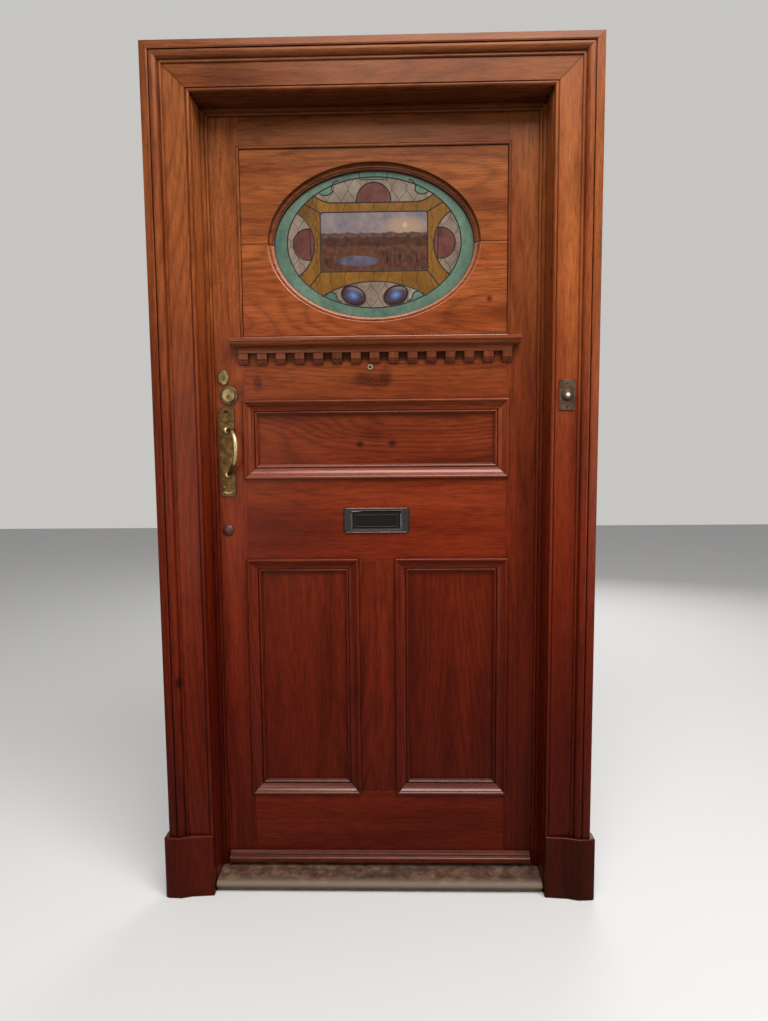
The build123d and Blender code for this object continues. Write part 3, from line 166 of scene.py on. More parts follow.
def varnished_timber(name, along, seed, shade=1.0, knots=(), marks=(), pale=0.0, lines=(), polish=0.26):
    # Grain runs along one axis. Knots are dark with rings and go through the piece. On the outer face alone, marks
    # are darker patches in the varnish, and lines are open joints, cracks, scratches and bands of painted shade.
    timber, tree, gloss, place = new_material(name)

    def drawn_out(share_x, share_z, steps):
        # The place on the piece, drawn out along the grain and shifted by the piece's own seed.
        scale = (share_x, 1, 1) if along == "x" else (1, 1, share_z)
        return stretched(tree, place, scale, [seed * step for step in steps])

    grain = drawn_out(0.05, 0.05, (1.37, 0.71, 2.13))
    loops = drawn_out(0.16, 0.12, (0.53, 1.9, 0.37))
    short = drawn_out(0.09, 0.09, (0, 0, 0))
    rings = calc(tree, "MULTIPLY", noise(tree, loops, 4.5, 1.6, 0.4, 0.2), 190.0)
    figure = calc(tree, "MULTIPLY_ADD", calc(tree, "SINE", rings, 0), 0.5, 0.5)
    streaks = noise(tree, short, 165, 6, 0.72)
    mottle = noise(tree, short, 14, 4, 0.6)
    pores = noise(tree, grain, 520, 3, 0.6)
    blotches = noise(tree, place, 5.0, 4, 0.6)
    ripples = noise(tree, place, 30, 2)

    levels = add_node(tree, "ShaderNodeSeparateXYZ")
    tree.links.new(place, levels.inputs["Vector"])
    wander = calc(tree, "MULTIPLY_ADD", blotches, 0.16, -0.08)
    rise = calc(tree, "MULTIPLY_ADD", levels.outputs["Z"], 1 / door_height, wander)
    body = ramp(tree, rise, (0.0, linear(76, 20, 9)), (0.22, linear(93, 22, 8)), (0.45, linear(112, 35, 13)),
                (0.58, linear(121, 49, 23)), (0.74, linear(147, 77, 37)), (0.88, linear(144, 80, 40)),
                (1.0, linear(130, 71, 37)))
    tint = noise(tree, grain, 9, 2, 0.5, 0.8)
    body = mix(tree, "MULTIPLY", 1.0, body, ramp(tree, tint, (0.3, (0.84 * shade, 0.76 * shade, 0.72 * shade)),
                                                (0.7, (1.12 * shade, 1.14 * shade, 1.14 * shade))))
    shown = ramp(tree, noise(tree, grain, 4.0, 2), (0.38, 0.15), (0.62, 0.75))
    body = mix(tree, "MULTIPLY", shown, body, ramp(tree, figure, (0.0, 0.6), (0.25, 0.9), (1.0, 1.1)))
    body = mix(tree, "MULTIPLY", 0.75, body, ramp(tree, streaks, (0.32, 0.46), (0.52, 1.0), (0.68, 1.2)))
    body = mix(tree, "MULTIPLY", 1.0, body, ramp(tree, mottle, (0.3, (0.68, 0.54, 0.5)), (0.5, 1.0),
                                                 (0.7, (1.18, 1.28, 1.28))))
    body = mix(tree, "MULTIPLY", 0.55, body, ramp(tree, pores, (0.34, 0.5), (0.5, 1.0), (0.7, 1.12)))
    if pale:
        body = mix(tree, "MIX", pale, body, (*linear(176, 120, 88), 1))
    for x, z, across, high in knots:
        knot = spot_mask(tree, place, x, z, across, high, 2.4)
        body = mix(tree, "MULTIPLY", 1.0, body, ramp(tree, knot, (0.0, 1.0), (0.35, (0.8, 0.7, 0.66)),
                                                    (0.55, (0.9, 0.82, 0.78)), (0.75, (0.42, 0.3, 0.26)),
                                                    (1.0, (0.22, 0.14, 0.12))))
    front = ramp(tree, levels.outputs["Y"], (marked_depth - 0.002, 1.0), (marked_depth + 0.002, 0.0))
    for x, z, across, high, depth in marks:
        stain = spot_mask(tree, place, x, z, across, high, 1.8)
        rough_edge = mix(tree, "MULTIPLY", 1.0, stain, ramp(tree, noise(tree, place, 160, 3), (0.3, 0.5), (0.6, 1.2)))
        left = 1 - depth
        body = mix(tree, "MULTIPLY", calc(tree, "MULTIPLY", rough_edge, front), body,
                   (left, left * 0.96, left * 0.94, 1))
    # Lines are drawn dark, both for open joints and for painted shade.
    for x, z, degrees, length, half_width in lines:
        joint_and_shade_line = dark_line(tree, place, x, z, degrees, length, half_width)
        body = mix(tree, "MULTIPLY", calc(tree, "MULTIPLY", joint_and_shade_line, front), body, (0.16, 0.1, 0.09, 1))
    # Painted shade darkens the corners, quirks and gaps between members.
    body = mix(tree, "MULTIPLY", 1.0, body, ramp(tree, crevice_shade(tree, 0.012), (0.2, (0.2, 0.13, 0.11)),
                                                 (0.62, (0.72, 0.64, 0.6)), (0.9, 1.0)))
    tree.links.new(body, gloss.inputs["Base Color"])
    tree.links.new(ramp(tree, streaks, (0.2, 0.2), (0.8, 0.36)), gloss.inputs["Roughness"])
    gloss.inputs["Specular IOR Level"].default_value = polish
    gloss.inputs["Specular Tint"].default_value = (1.0, 0.48 + polish * 0.34, 0.28 + polish * 0.49, 1)
    emboss(tree, gloss, calc(tree, "MULTIPLY_ADD", ripples, 0.6, streaks), 0.4, 0.0005)
    return timber


def pick(piece):
    bpy.ops.object.select_all(action="DESELECT")
    piece.select_set(True)
    bpy.context.view_layer.objects.active = piece


def dress(piece, material):
    piece.data.materials.clear()
    piece.data.materials.append(material)


def middle_of(node_name):
    return [(low + high) / 2 for low, high in zip(*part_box(node_name))]


def worn_copy(node_name, body, materials, arris, segments=2, angle=25, parts=False):
    # The member as made, with its arrises rounded by wear and old varnish. It stands for the plain solid.
    # With parts, each strip of a mitred frame becomes a piece of its own with the grain along it, and the
    # materials are for its head, its uprights and its foot.
    piece = nodes[node_name].copy()
    piece.data = nodes[node_name].data.copy()
    piece.name = node_name + "_worn"
    piece.parent = None
    piece.matrix_world = Matrix.Identity(4)
    bpy.context.collection.objects.link(piece)
    pick(piece)
    bpy.ops.object.mode_set(mode="EDIT")
    bpy.ops.mesh.select_all(action="SELECT")
    bpy.ops.mesh.remove_doubles(threshold=weld)
    bpy.ops.mesh.dissolve_limited(angle_limit=flat_enough)
    if parts:
        bpy.ops.mesh.separate(type="LOOSE")
    bpy.ops.object.mode_set(mode="OBJECT")
    made = list(bpy.context.selected_objects)
    for strip in made:
        pick(strip)
        rounding = strip.modifiers.new("arris", "BEVEL")
        rounding.width = arris
        rounding.segments = segments
        rounding.limit_method = "ANGLE"
        rounding.angle_limit = radians(angle)
        bpy.ops.object.modifier_apply(modifier=rounding.name)
        bpy.ops.object.shade_smooth_by_angle(angle=radians(35))
        level = strip.modifiers.new("level faces", "WEIGHTED_NORMAL")
        level.weight = 100
        level.keep_sharp = True
        bpy.ops.object.modifier_apply(modifier=level.name)
        upright = strip.dimensions.z > strip.dimensions.x
        foot = not upright and max(corner[2] for corner in strip.bound_box) < middle_of(node_name)[2]
        kind = 1 if upright else 2 if foot else 0
        dress(strip, materials[kind if kind < len(materials) else 0])
        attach(strip, body)
        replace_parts(strip, node_name)
    return made


# The head jamb and the head stop are painted much darker than the sides, as painted shade under the head.
for side, along, seed, shade in (("left", "z", 1, 1.2), ("right", "z", 2, 1.15), ("head", "x", 3, 0.45)):
    worn_copy(f"jamb_{side}", "frame",
              [varnished_timber(f"jamb {side} varnish", along, seed, shade)], 0.0009)
worn_copy("door_stops", "frame",
          [varnished_timber("head stop varnish", "x", 4, 0.5), varnished_timber("side stop varnish", "z", 5, 0.85)],
          0.0005, parts=True)

# Architraves and plinth blocks. Moulded boards in the same stained timber, mitred at the head with the
# mitres a little open, standing on plinth blocks, the right one darker than the left.
left_mitre = (-0.504, 2.2085, 135, 0.085, 0.0014)
right_mitre = (0.504, 2.2085, 45, 0.085, 0.0014)
worn_copy("architrave_left", "frame",
          [varnished_timber("left architrave varnish", "z", 6, 0.98, knots=((-0.545, 0.62, 0.006, 0.012),),
                           lines=(left_mitre, (-0.585, 1.62, 88, 0.3, 0.0007)))], 0.0007)
worn_copy("architrave_right", "frame",
          [varnished_timber("right architrave varnish", "z", 7, 1.1,
                           marks=((0.545, 1.24, 0.02, 0.1, 0.3), (0.585, 1.72, 0.012, 0.16, 0.35),
                                  (0.53, 1.93, 0.02, 0.06, 0.25), (0.545, 0.35, 0.09, 0.35, 0.22)),
                           lines=(right_mitre, (0.57, 1.55, 86, 0.25, 0.0006)))], 0.0007)
worn_copy("architrave_head", "frame",
          [varnished_timber("head architrave varnish", "x", 8, 0.72,
                           marks=((-0.37, 2.2, 0.05, 0.06, 0.3), (0.2, 2.2, 0.09, 0.04, 0.2)),
                           lines=(left_mitre, right_mitre))], 0.0007)
for side, seed, shade in (("left", 9, 1.0), ("right", 10, 0.55)):
    worn_copy(f"plinth_{side}", "frame",
              [varnished_timber(f"{side} plinth varnish", "z", seed, shade)], 0.0014)


# Sill. A hardwood board let in between the jambs, its finish worn off by feet: grey-brown, scuffed and
# dusty, paler along the round nosing, for its wear and as a painted highlight.
def worn_board(name):
    board, tree, gloss, place = new_material(name)
    fibres = noise(tree, stretched(tree, place, (0.06, 1, 1)), 190, 6, 0.7)
    scuffs = noise(tree, place, 34, 5, 0.7)
    patches = noise(tree, place, 7, 3)
    body = ramp(tree, scuffs, (0.3, linear(62, 40, 30)), (0.48, linear(92, 64, 49)), (0.7, linear(132, 106, 86)))
    body = mix(tree, "MULTIPLY", 0.6, body, ramp(tree, fibres, (0.3, 0.5), (0.62, 1.1)))
    body = mix(tree, "MULTIPLY", 0.7, body, ramp(tree, patches, (0.35, 0.6), (0.6, 1.1)))
    depth = add_node(tree, "ShaderNodeSeparateXYZ")
    tree.links.new(place, depth.inputs["Vector"])
    # The round nosing is painted paler, both for its wear and as a painted highlight.
    edge = ramp(tree, calc(tree, "MULTIPLY_ADD", depth.outputs["Y"], 12.0, 0.2), (0.0, 1.0), (0.35, 0.0))
    body = mix(tree, "MIX", edge, body, (*linear(128, 112, 96), 1))
    tree.links.new(body, gloss.inputs["Base Color"])
    gloss.inputs["Roughness"].default_value = 0.7
    gloss.inputs["Specular IOR Level"].default_value = 0.3
    emboss(tree, gloss, calc(tree, "ADD", fibres, scuffs), 0.5, 0.0012)
    return board


worn_copy("sill", "frame", [worn_board("worn sill board")], 0.003)

# Stiles, rails and muntin of the leaf. Tenoned together; the shelf rail keeps the darker ghost of a knocker
# and the filled holes of old fittings.
# A band of painted shade on the shelf rail behind the dentils, where the shelf shades it.
shade_behind_dentils = (0, 1.512, 0, 0.76, 0.014)
for member, along, seed, shade, marks, lines in (
        ("hinge_stile", "z", 11, 0.95, (), ()),
        ("lock_stile", "z", 12, 1.18, ((-0.376, 1.42, 0.016, 0.024, 0.5), (-0.43, 1.95, 0.12, 0.36, 0.36)), ()),
        ("top_rail", "x", 13, 0.72, (), ()),
        ("shelf_rail", "x", 14, 0.93, ((-0.036, 1.452, 0.02, 0.012, 0.62), (0.008, 1.444, 0.026, 0.013, 0.62),
                                       (0.03, 1.46, 0.013, 0.02, 0.5), (-0.327, 1.443, 0.009, 0.018, 0.6)),
         (shade_behind_dentils,)),
        ("letter_rail", "x", 15, 1.17, ((-0.27, 1.06, 0.14, 0.1, 0.26),), ()),
        ("bottom_rail", "x", 16, 1.3, (), ()),
        ("muntin", "z", 17, 0.92, (), ())):
    varnish = varnished_timber(member.replace("_", " ") + " varnish", along, seed, shade, marks=marks, lines=lines)
    worn_copy(member, "leaf", [varnish], 0.0009)

# Panels. Two thick boards hold the oval light, butted with an open joint; three thin flat panels fill the
# rest of the leaf. The turned edge round the light is polished, pale below as painted highlight and dark above as
# painted shade.
came_y, light_z = middle_of("lead_came")[1:]
rim_half_width, rim_half_height = 0.292, 0.213
rim_depth = 0.108
board_end = 0.3872


def dress_rim(boards, material):
    # Only the turned faces of the edge, in front of the glass.
    for board in boards:
        board.data.materials.append(material)
        for face in board.data.polygons:
            middle = face.center
            reach = sqrt((middle.x / rim_half_width) ** 2 + ((middle.z - light_z) / rim_half_height) ** 2)
            if reach < 1.0 and abs(face.normal.y) < 0.985 and middle.y < rim_depth:
                face.material_index = 1


# The line under the top rail is an open joint widened with a painted shadow of the rail.
upper_varnish = varnished_timber("upper board varnish", "x", 21, 0.9, marks=((0, 2.06, 0.26, 0.04, 0.26),),
                                 lines=((0, 2.0662, 0, 0.9, 0.0026), (-board_end, 1.944, 90, 0.26, 0.0012),
                                        (board_end, 1.944, 90, 0.26, 0.0012)))
lower_varnish = varnished_timber("lower board varnish", "x", 22, 1.1, knots=((0.315, 1.665, 0.005, 0.005),),
                                 lines=((-board_end, 1.695, 90, 0.25, 0.0012),
                                        (board_end, 1.695, 90, 0.25, 0.0012)))
# The rims are shaded and lit copies of the board varnish: painted dark above as shade, pale below as highlight.
for board, varnish, rim in (
        ("oval_board_upper", upper_varnish, varnished_timber("upper rim varnish", "x", 21, 0.5, polish=0.5)),
        ("oval_board_lower", lower_varnish,
         varnished_timber("lower rim varnish", "x", 22, 1.1, pale=0.55, polish=0.9))):
    dress_rim(worn_copy(board, "leaf", [varnish], 0.0016, segments=3, angle=40), rim)
for panel, along, seed, shade, knots, marks in (
        ("middle_panel", "x", 23, 0.95, ((-0.045, 1.272, 0.007, 0.006), (0.046, 1.274, 0.008, 0.006)),
         ((-0.002, 1.297, 0.03, 0.012, 0.55),)),
        ("lower_panel_left", "z", 24, 0.98, (), ()), ("lower_panel_right", "z", 25, 0.95, (), ())):
    dress(nodes[panel], varnished_timber(panel + " varnish", along, seed, shade, knots, marks))

# Mouldings planted on the leaf, each strip cut to a mitre, heads painted darker as shade and feet paler as
# painted highlight; the shelf with its dentil blocks, the weather bar at the foot and the bead behind the light.
# Head strips are painted darker as shade, sides a little darker, feet paler as painted highlight.
for moulding, seed, shade in (("middle_moulding", 31, 1.02), ("lower_moulding_left", 33, 1.0),
                              ("lower_moulding_right", 35, 1.0), ("oval_panel_bead", 37, 0.8)):
    worn_copy(moulding, "leaf",
              [varnished_timber(moulding + " head varnish", "x", seed, shade * 0.85, polish=0.34),
               varnished_timber(moulding + " sides varnish", "z", seed + 1, shade * 0.92, polish=0.32),
               varnished_timber(moulding + " foot varnish", "x", seed, shade, pale=0.04, polish=0.78)],
              0.0009, parts=True)
worn_copy("shelf_moulding", "leaf", [varnished_timber("shelf varnish", "x", 39, 0.85, polish=0.5)], 0.0012)
worn_copy("dentils", "leaf", [varnished_timber("dentil varnish", "z", 40, 0.75, polish=0.5)], 0.0012)
worn_copy("weather_bar", "leaf",
          [varnished_timber("weather bar varnish", "x", 41, 0.9, pale=0.03, polish=0.5)], 0.0009)
worn_copy("glazing_bead", "leaf", [varnished_timber("glazing bead varnish", "x", 42, 0.9)], 0.0006,
          angle=40)

# Lead cames of the oval light. H-section lead drawn round every pane, rubbed smooth and dull, soldered where
# the leads meet, with a fine diamond net of thin leads across the pale and the amber glass. The light is drawn
# in millimetres from the middle of its opening.
border_rise, border_half_width, border_half_height = 6, 240, 175


def on_border(degrees, side=1):
    return (side * border_half_width * cos(radians(degrees)),
            border_rise + border_half_height * sin(radians(degrees)))


def bend(a, b, c, steps=14):
    # Points along the arc from a through b to c.
    (ax, ay), (bx, by), (cx, cy) = a, b, c
    d = 2 * (ax * (by - cy) + bx * (cy - ay) + cx * (ay - by))
    ox = ((ax * ax + ay * ay) * (by - cy) + (bx * bx + by * by) * (cy - ay) + (cx * cx + cy * cy) * (ay - by)) / d
    oy = ((ax * ax + ay * ay) * (cx - bx) + (bx * bx + by * by) * (ax - cx) + (cx * cx + cy * cy) * (bx - ax)) / d
    radius = sqrt((ax - ox) ** 2 + (ay - oy) ** 2)
    start, middle, end = (atan2(y - oy, x - ox) for x, y in (a, b, c))
    turn = (end - start) % (2 * pi)
    if (middle - start) % (2 * pi) > turn:
        turn -= 2 * pi
    return [(ox + radius * cos(start + turn * n / steps), oy + radius * sin(start + turn * n / steps))
            for n in range(steps + 1)]


def around(x, y, half_width, half_height, tilt=0.0, steps=48):
    # Points round an oval that leans by the tilt.
    turns = [2 * pi * n / steps for n in range(steps)]
    return [(x + half_width * cos(t) * cos(tilt) - half_height * sin(t) * sin(tilt),
             y + half_width * cos(t) * sin(tilt) + half_height * sin(t) * cos(tilt)) for t in turns]


def inside(point, outline):
    # Whether a point lies within a closed outline: a ray from it crosses the outline an odd number of times.
    x, y = point
    within = False
    for (ax, ay), (bx, by) in zip(outline, outline[1:] + outline[:1]):
        if (ay > y) != (by > y) and x < (bx - ax) * (y - ay) / (by - ay) + ax:
            within = not within
    return within


def swept(name, runs, thickness, roundness):
    # Round bars along runs of points in metres, each point with its own share of the thickness, as one mesh.
    curve = bpy.data.curves.new(name, "CURVE")
    curve.dimensions = "3D"
    curve.bevel_depth = thickness
    curve.bevel_resolution = roundness
    curve.use_fill_caps = True
    for points, closed in runs:
        spline = curve.splines.new("POLY")
        spline.points.add(len(points) - 1)
        for knot, (x, y, z, share) in zip(spline.points, points):
            knot.co = (x, y, z, 1)
            knot.radius = share
        spline.use_cyclic_u = closed
    made = bpy.data.objects.new(name, curve)
    bpy.context.collection.objects.link(made)
    pick(made)
    bpy.ops.object.convert(target="MESH")
    return made


def finish_piece(piece, name, material, body, angle=40):
    piece.name = name
    pick(piece)
    bpy.ops.object.transform_apply(location=True, rotation=True, scale=True)
    bpy.ops.object.shade_smooth_by_angle(angle=radians(angle))
    dress(piece, material)
    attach(piece, body)
    return piece


dull_lead, tree, gloss, place = new_material("dull lead")
rubbed = noise(tree, place, 260, 4, 0.6)
tree.links.new(ramp(tree, rubbed, (0.3, linear(24, 17, 14)), (0.7, linear(54, 44, 40))), gloss.inputs["Base Color"])
tree.links.new(ramp(tree, rubbed, (0.3, 0.65), (0.7, 0.42)), gloss.inputs["Roughness"])
gloss.inputs["Metallic"].default_value = 0.4
emboss(tree, gloss, rubbed, 0.3, 0.0004)


def bars(name, runs, half_width, half_depth):
    # Round-edged leads along runs of points on the plane of the light, as one mesh.
    drawn = [([(x / 1000, 0, z / 1000, 1) for x, z in points], closed) for points, closed in runs]
    made = swept(name, drawn, half_width / 1000, 1)
    made.location = (0, came_y, light_z)
    made.scale = (1, half_depth / half_width, 1)
    return finish_piece(made, name, dull_lead, "leaf", 50)


border = around(0, border_rise, border_half_width, border_half_height, steps=96)
picture_frame = [(-148, -70), (-148, 89), (148, 89), (148, -70)]
corner_frame = []
for x, z, turn in ((142, 83, 0), (-142, 83, 90), (-142, -64, 180), (142, -64, 270)):
    corner_frame += [(x + 6 * cos(radians(turn + step)), z + 6 * sin(radians(turn + step)))
                     for step in (0, 30, 60, 90)]
top_line = (bend(on_border(47, -1), (-141, 120), (-105, 114), 8) + bend((105, 114), (141, 120), on_border(47), 8))
arch_line = bend(on_border(-53.5, -1), (0, -97), on_border(-53.5), 24)
side_lines = [bend(on_border(28, side), (side * 165, 4), on_border(-29.5, side), 20) for side in (-1, 1)]
jewel_x, jewel_drop, jewel_tilt = 59, 136, radians(24)
jewel_rings = [around(side * jewel_x, -jewel_drop, 35, 25.5, side * jewel_tilt, 40) for side in (-1, 1)]
roses = ((0, 120, 47), (-182, 4, 42), (182, 4, 42))
rose_rings = [around(x, z, radius, radius) for x, z, radius in roses]
tab = [(-38, 192), (-38, 174), (38, 174), (38, 192)]
curls = []
for side in (-1, 1):
    upper = (bend(on_border(51, side), (side * 130, 134), (side * 113, 145), 10)
             + bend((side * 113, 145), (side * 114, 161), (side * 96, 172), 8)[1:])
    lower = (bend(on_border(-55.5, side), (side * 121, -125), (side * 106, -134), 10)
             + bend((side * 106, -134), (side * 103, -145), (side * 90, -151), 8)[1:])
    curls += [upper, lower]

top_field = top_line + [(190, 320), (-190, 320)]
arch_field = arch_line + [(190, -320), (-190, -320)]
side_outlines = [line + [(side * 320, -160), (side * 320, 160)] for side, line in zip((-1, 1), side_lines)]
curl_outlines = [curl + [(curl[0][0], curl[-1][1] * 1.8)] for curl in curls]


def field_of(point):
    # Which glass a point of the light lies on.
    if not inside(point, border) or inside(point, picture_frame):
        return "other"
    if inside(point, tab) or any(inside(point, outline) for outline in curl_outlines):
        return "teal"
    if any(inside(point, outline) for outline in [top_field, arch_field] + side_outlines):
        return "rose" if any(inside(point, ring) for ring in rose_rings + jewel_rings) else "pale"
    return "amber"


def clipped(points, wanted):
    # The stretches of a line that lie on the wanted glass.
    runs = []
    run = []
    for point in points:
        if field_of(point) == wanted:
            run.append(point)
        else:
            if len(run) > 2:
                runs.append((run, False))
            run = []
    if len(run) > 2:
        runs.append((run, False))
    return runs


leads = [(border, True), (corner_frame, True), (top_line, False), (arch_line, False)]
leads += [(line, False) for line in side_lines] + [(ring, True) for ring in jewel_rings]
leads += [(line, False) for line in [tab] + curls]
for x, z, radius in roses:
    circle = around(x, z, radius, radius, steps=72)
    start = 0 if x > 0 else 36 if x < 0 else 54
    fine = circle[start:] + circle[:start + 1]
    shown = [point for point in fine if field_of((x + (point[0] - x) * 1.02, z + (point[1] - z) * 1.02)) == "pale"]
    leads.append((shown, False))
for side in (-1, 1):
    for corner, degrees in ((87, 37.5), (-68, -41.5)):
        leads.append(([(side * 146, corner), on_border(degrees, side)], False))
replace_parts(bars("lead_cames", leads, 2.3, 2.5), "lead_came")
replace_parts(bars("lead_edge", [(around(0, 0, 278.5, 199.5, steps=96), True)], 6.5, 2.5), "lead_came")

net_pitch = 20.0
lattice = []
for number in range(-13, 14):
    line = net_pitch * number
    lattice += clipped([(line + net_pitch / 2 * cos(pi * step / 72 + pi * number), step / 2 + border_rise)
                        for step in range(-360, 361)], "pale")
    if number % 2 == 0:
        lattice += clipped([(line + 4 * cos(pi * w / 30), w) for w in range(-180, 184, 3)], "amber")
    elif abs(number) > 7:
        lattice += clipped([(line + net_pitch + 9 * cos(pi * w / 30 + pi), w) for w in range(-180, 184, 3)], "amber")
thinned = [(points[::3] + points[-1:], closed) for points, closed in lattice]
bars("fine_leads", thinned, 1.2, 1.9)

for number, (x, z) in enumerate([on_border(d, s) for s in (-1, 1) for d in (47, 28, -29.5, -53.5)]
                                + [(-146, 87), (146, 87), (-146, -68), (146, -68), (-44, 114), (44, 114)]):
    bpy.ops.mesh.primitive_uv_sphere_add(segments=16, ring_count=8, radius=0.0042,
                                         location=(x / 1000, came_y, light_z + z / 1000))
    solder = bpy.context.object
    solder.scale = (1.1, 0.66, 0.9)
    finish_piece(solder, f"solder_{number}", dull_lead, "leaf", 60)


# Glass of the light. Machine-rolled opalescent glass, each colour a little streaked and rippled; the middle
# pane is painted with plain hills, a pond and a low sun in the browns and greys of the old one.
def rolled_glass(name, one, other, scale=9.0, seed=0.0):
    glass, tree, gloss, place = new_material(name)
    sheet = stretched(tree, place, (1, 1, 0.45), (seed, seed * 0.6, seed * 1.7))
    streaks = noise(tree, sheet, scale, 5, 0.62, 1.3)
    grime = noise(tree, place, 60, 5, 0.7)
    body = ramp(tree, streaks, (0.3, linear(*one)), (0.7, linear(*other)))
    body = mix(tree, "MULTIPLY", 0.6, body, ramp(tree, grime, (0.32, 0.62), (0.55, 1.05)))
    tree.links.new(body, gloss.inputs["Base Color"])
    gloss.inputs["Roughness"].default_value = 0.3
    gloss.inputs["Specular IOR Level"].default_value = 0.16
    emboss(tree, gloss, calc(tree, "ADD", noise(tree, place, 95, 3), streaks), 0.5, 0.0008)
    return glass


for pane, one, other, scale in (("glass_teal", (68, 92, 78), (102, 124, 105), 7),
                                ("glass_amber", (92, 58, 17), (130, 88, 31), 9),
                                ("glass_pale", (104, 86, 72), (142, 126, 110), 12),
                                ("glass_rose", (70, 34, 31), (106, 61, 53), 20)):
    dress(nodes[pane], rolled_glass(pane + " rolled", one, other, scale, len(pane)))

painting = rolled_glass("painted pane", (96, 88, 96), (128, 112, 108), 14, 3.0)
tree = painting.node_tree
colour = tree.nodes["Principled BSDF"].inputs["Base Color"]
place = add_node(tree, "ShaderNodeTexCoord").outputs["Object"]
flat = vector_step(tree, "MULTIPLY", place, (1, 0, 0))
split = add_node(tree, "ShaderNodeSeparateXYZ")
tree.links.new(place, split.inputs["Vector"])
body = colour.links[0].from_socket
glow = spot_mask(tree, place, 0.085, 1.868, 0.05, 0.02, 1.6)
body = mix(tree, "MIX", glow, body, (*linear(150, 124, 98), 1))
sun = ramp(tree, spot_mask(tree, place, 0.085, 1.872, 0.010, 0.010, 1.0), (0.45, 0.0), (0.55, 1.0))
body = mix(tree, "MIX", sun, body, (*linear(176, 146, 108), 1))
ridges = ((1.853, 0.02, 34, (84, 60, 52)), (1.842, 0.026, 60, (66, 38, 26)), (1.818, 0.03, 18, (84, 50, 34)))
for level, swing, scale, tone in ridges:
    crest = calc(tree, "MULTIPLY_ADD", noise(tree, flat, scale, 3, 0.4), swing, level - swing / 2)
    under = calc(tree, "MULTIPLY", calc(tree, "SUBTRACT", crest, split.outputs["Z"]), 600.0)
    shade = ramp(tree, noise(tree, place, 70, 4), (0.3, linear(*[part * 0.75 for part in tone])),
                 (0.7, linear(*[part * 1.15 for part in tone])))
    body = mix(tree, "MIX", ramp(tree, under, (0.0, 0.0), (1.0, 1.0)), body, shade)
pond = ramp(tree, spot_mask(tree, place, -0.045, 1.777, 0.062, 0.015, 1.3), (0.3, 0.0), (0.5, 1.0))
water = ramp(tree, noise(tree, place, 45, 3), (0.3, linear(66, 60, 70)), (0.7, linear(92, 84, 98)))
body = mix(tree, "MIX", pond, body, water)
stalks = stretched(tree, place, (1, 0, 0.07))
reeds = ramp(tree, noise(tree, stalks, 420, 2, 0.6, 0.6), (0.5, 0.0), (0.58, 1.0))
for x, z, across, high in ((0.05, 1.786, 0.05, 0.028), (-0.115, 1.775, 0.028, 0.022), (0.12, 1.775, 0.03, 0.03)):
    bed = ramp(tree, spot_mask(tree, place, x, z, across, high, 1.2), (0.25, 0.0), (0.55, 1.0))
    body = mix(tree, "MIX", calc(tree, "MULTIPLY", bed, reeds), body, (*linear(40, 24, 16), 1))
tree.links.new(body, colour)
dress(nodes["glass_centre"], painting)

# Jewels. Two tilted ovals of dark blue glass, pressed with a domed face and set in rings of lead, with a painted
# glint of sky in the middle and a painted reflection of the room's brown round their edge.
jewel_half_width, jewel_half_height = 0.0335, 0.024
for side in (-1, 1):
    heart = (side * jewel_x / 1000, came_y, light_z - jewel_drop / 1000)
    bpy.ops.mesh.primitive_uv_sphere_add(segments=40, ring_count=24, radius=1)
    jewel = bpy.context.object
    jewel.name = "jewel_left" if side < 0 else "jewel_right"
    jewel.scale = (jewel_half_width, 0.0054, jewel_half_height)
    jewel.rotation_euler = (0, -side * jewel_tilt, 0)
    jewel.location = heart
    bpy.ops.object.transform_apply(location=True, rotation=True, scale=True)
    bpy.ops.object.mode_set(mode="EDIT")
    bpy.ops.mesh.select_all(action="DESELECT")
    bpy.ops.object.mode_set(mode="OBJECT")
    for vertex in jewel.data.vertices:
        vertex.select = vertex.co.y > came_y + 0.0001
    bpy.ops.object.mode_set(mode="EDIT")
    bpy.ops.transform.resize(value=(1, 0.25, 1), center_override=heart)
    bpy.ops.object.mode_set(mode="OBJECT")
    cut, tree, gloss, place = new_material(jewel.name + " glass")
    dome = add_node(tree, "ShaderNodeMapping", vector_type="TEXTURE")
    dome.inputs["Location"].default_value = (heart[0], 0, heart[2])
    dome.inputs["Rotation"].default_value = (0, -side * jewel_tilt, 0)
    dome.inputs["Scale"].default_value = (jewel_half_width, 1, jewel_half_height)
    tree.links.new(place, dome.inputs["Vector"])
    reach = vector_step(tree, "LENGTH", vector_step(tree, "MULTIPLY", dome.outputs["Vector"], (1, 0, 1)),
                        output="Value")
    wavy = calc(tree, "MULTIPLY_ADD", noise(tree, place, 90, 3), 0.3, calc(tree, "SUBTRACT", reach, 0.15))
    # Painted glint of sky in the middle, painted reflection of the room's brown towards the edge.
    body = ramp(tree, wavy, (0.1, linear(96, 116, 150)), (0.4, linear(60, 76, 116)), (0.62, linear(56, 50, 68)),
                (0.8, linear(70, 44, 44)), (1.0, linear(50, 26, 25)))
    tree.links.new(body, gloss.inputs["Base Color"])
    gloss.inputs["Roughness"].default_value = 0.3
    gloss.inputs["Specular IOR Level"].default_value = 0.2
    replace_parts(finish_piece(jewel, jewel.name, cut, "leaf", 180), "glass_jewels")


# Cast pull handle. One brass casting: a long rimmed plate with a hollow at its head, two balls and a cranked
# grip, rubbed bright where hands take it, with painted shade dark in its corners and in its hollow.
handle_x, plate_face = -0.4165, 0.0715


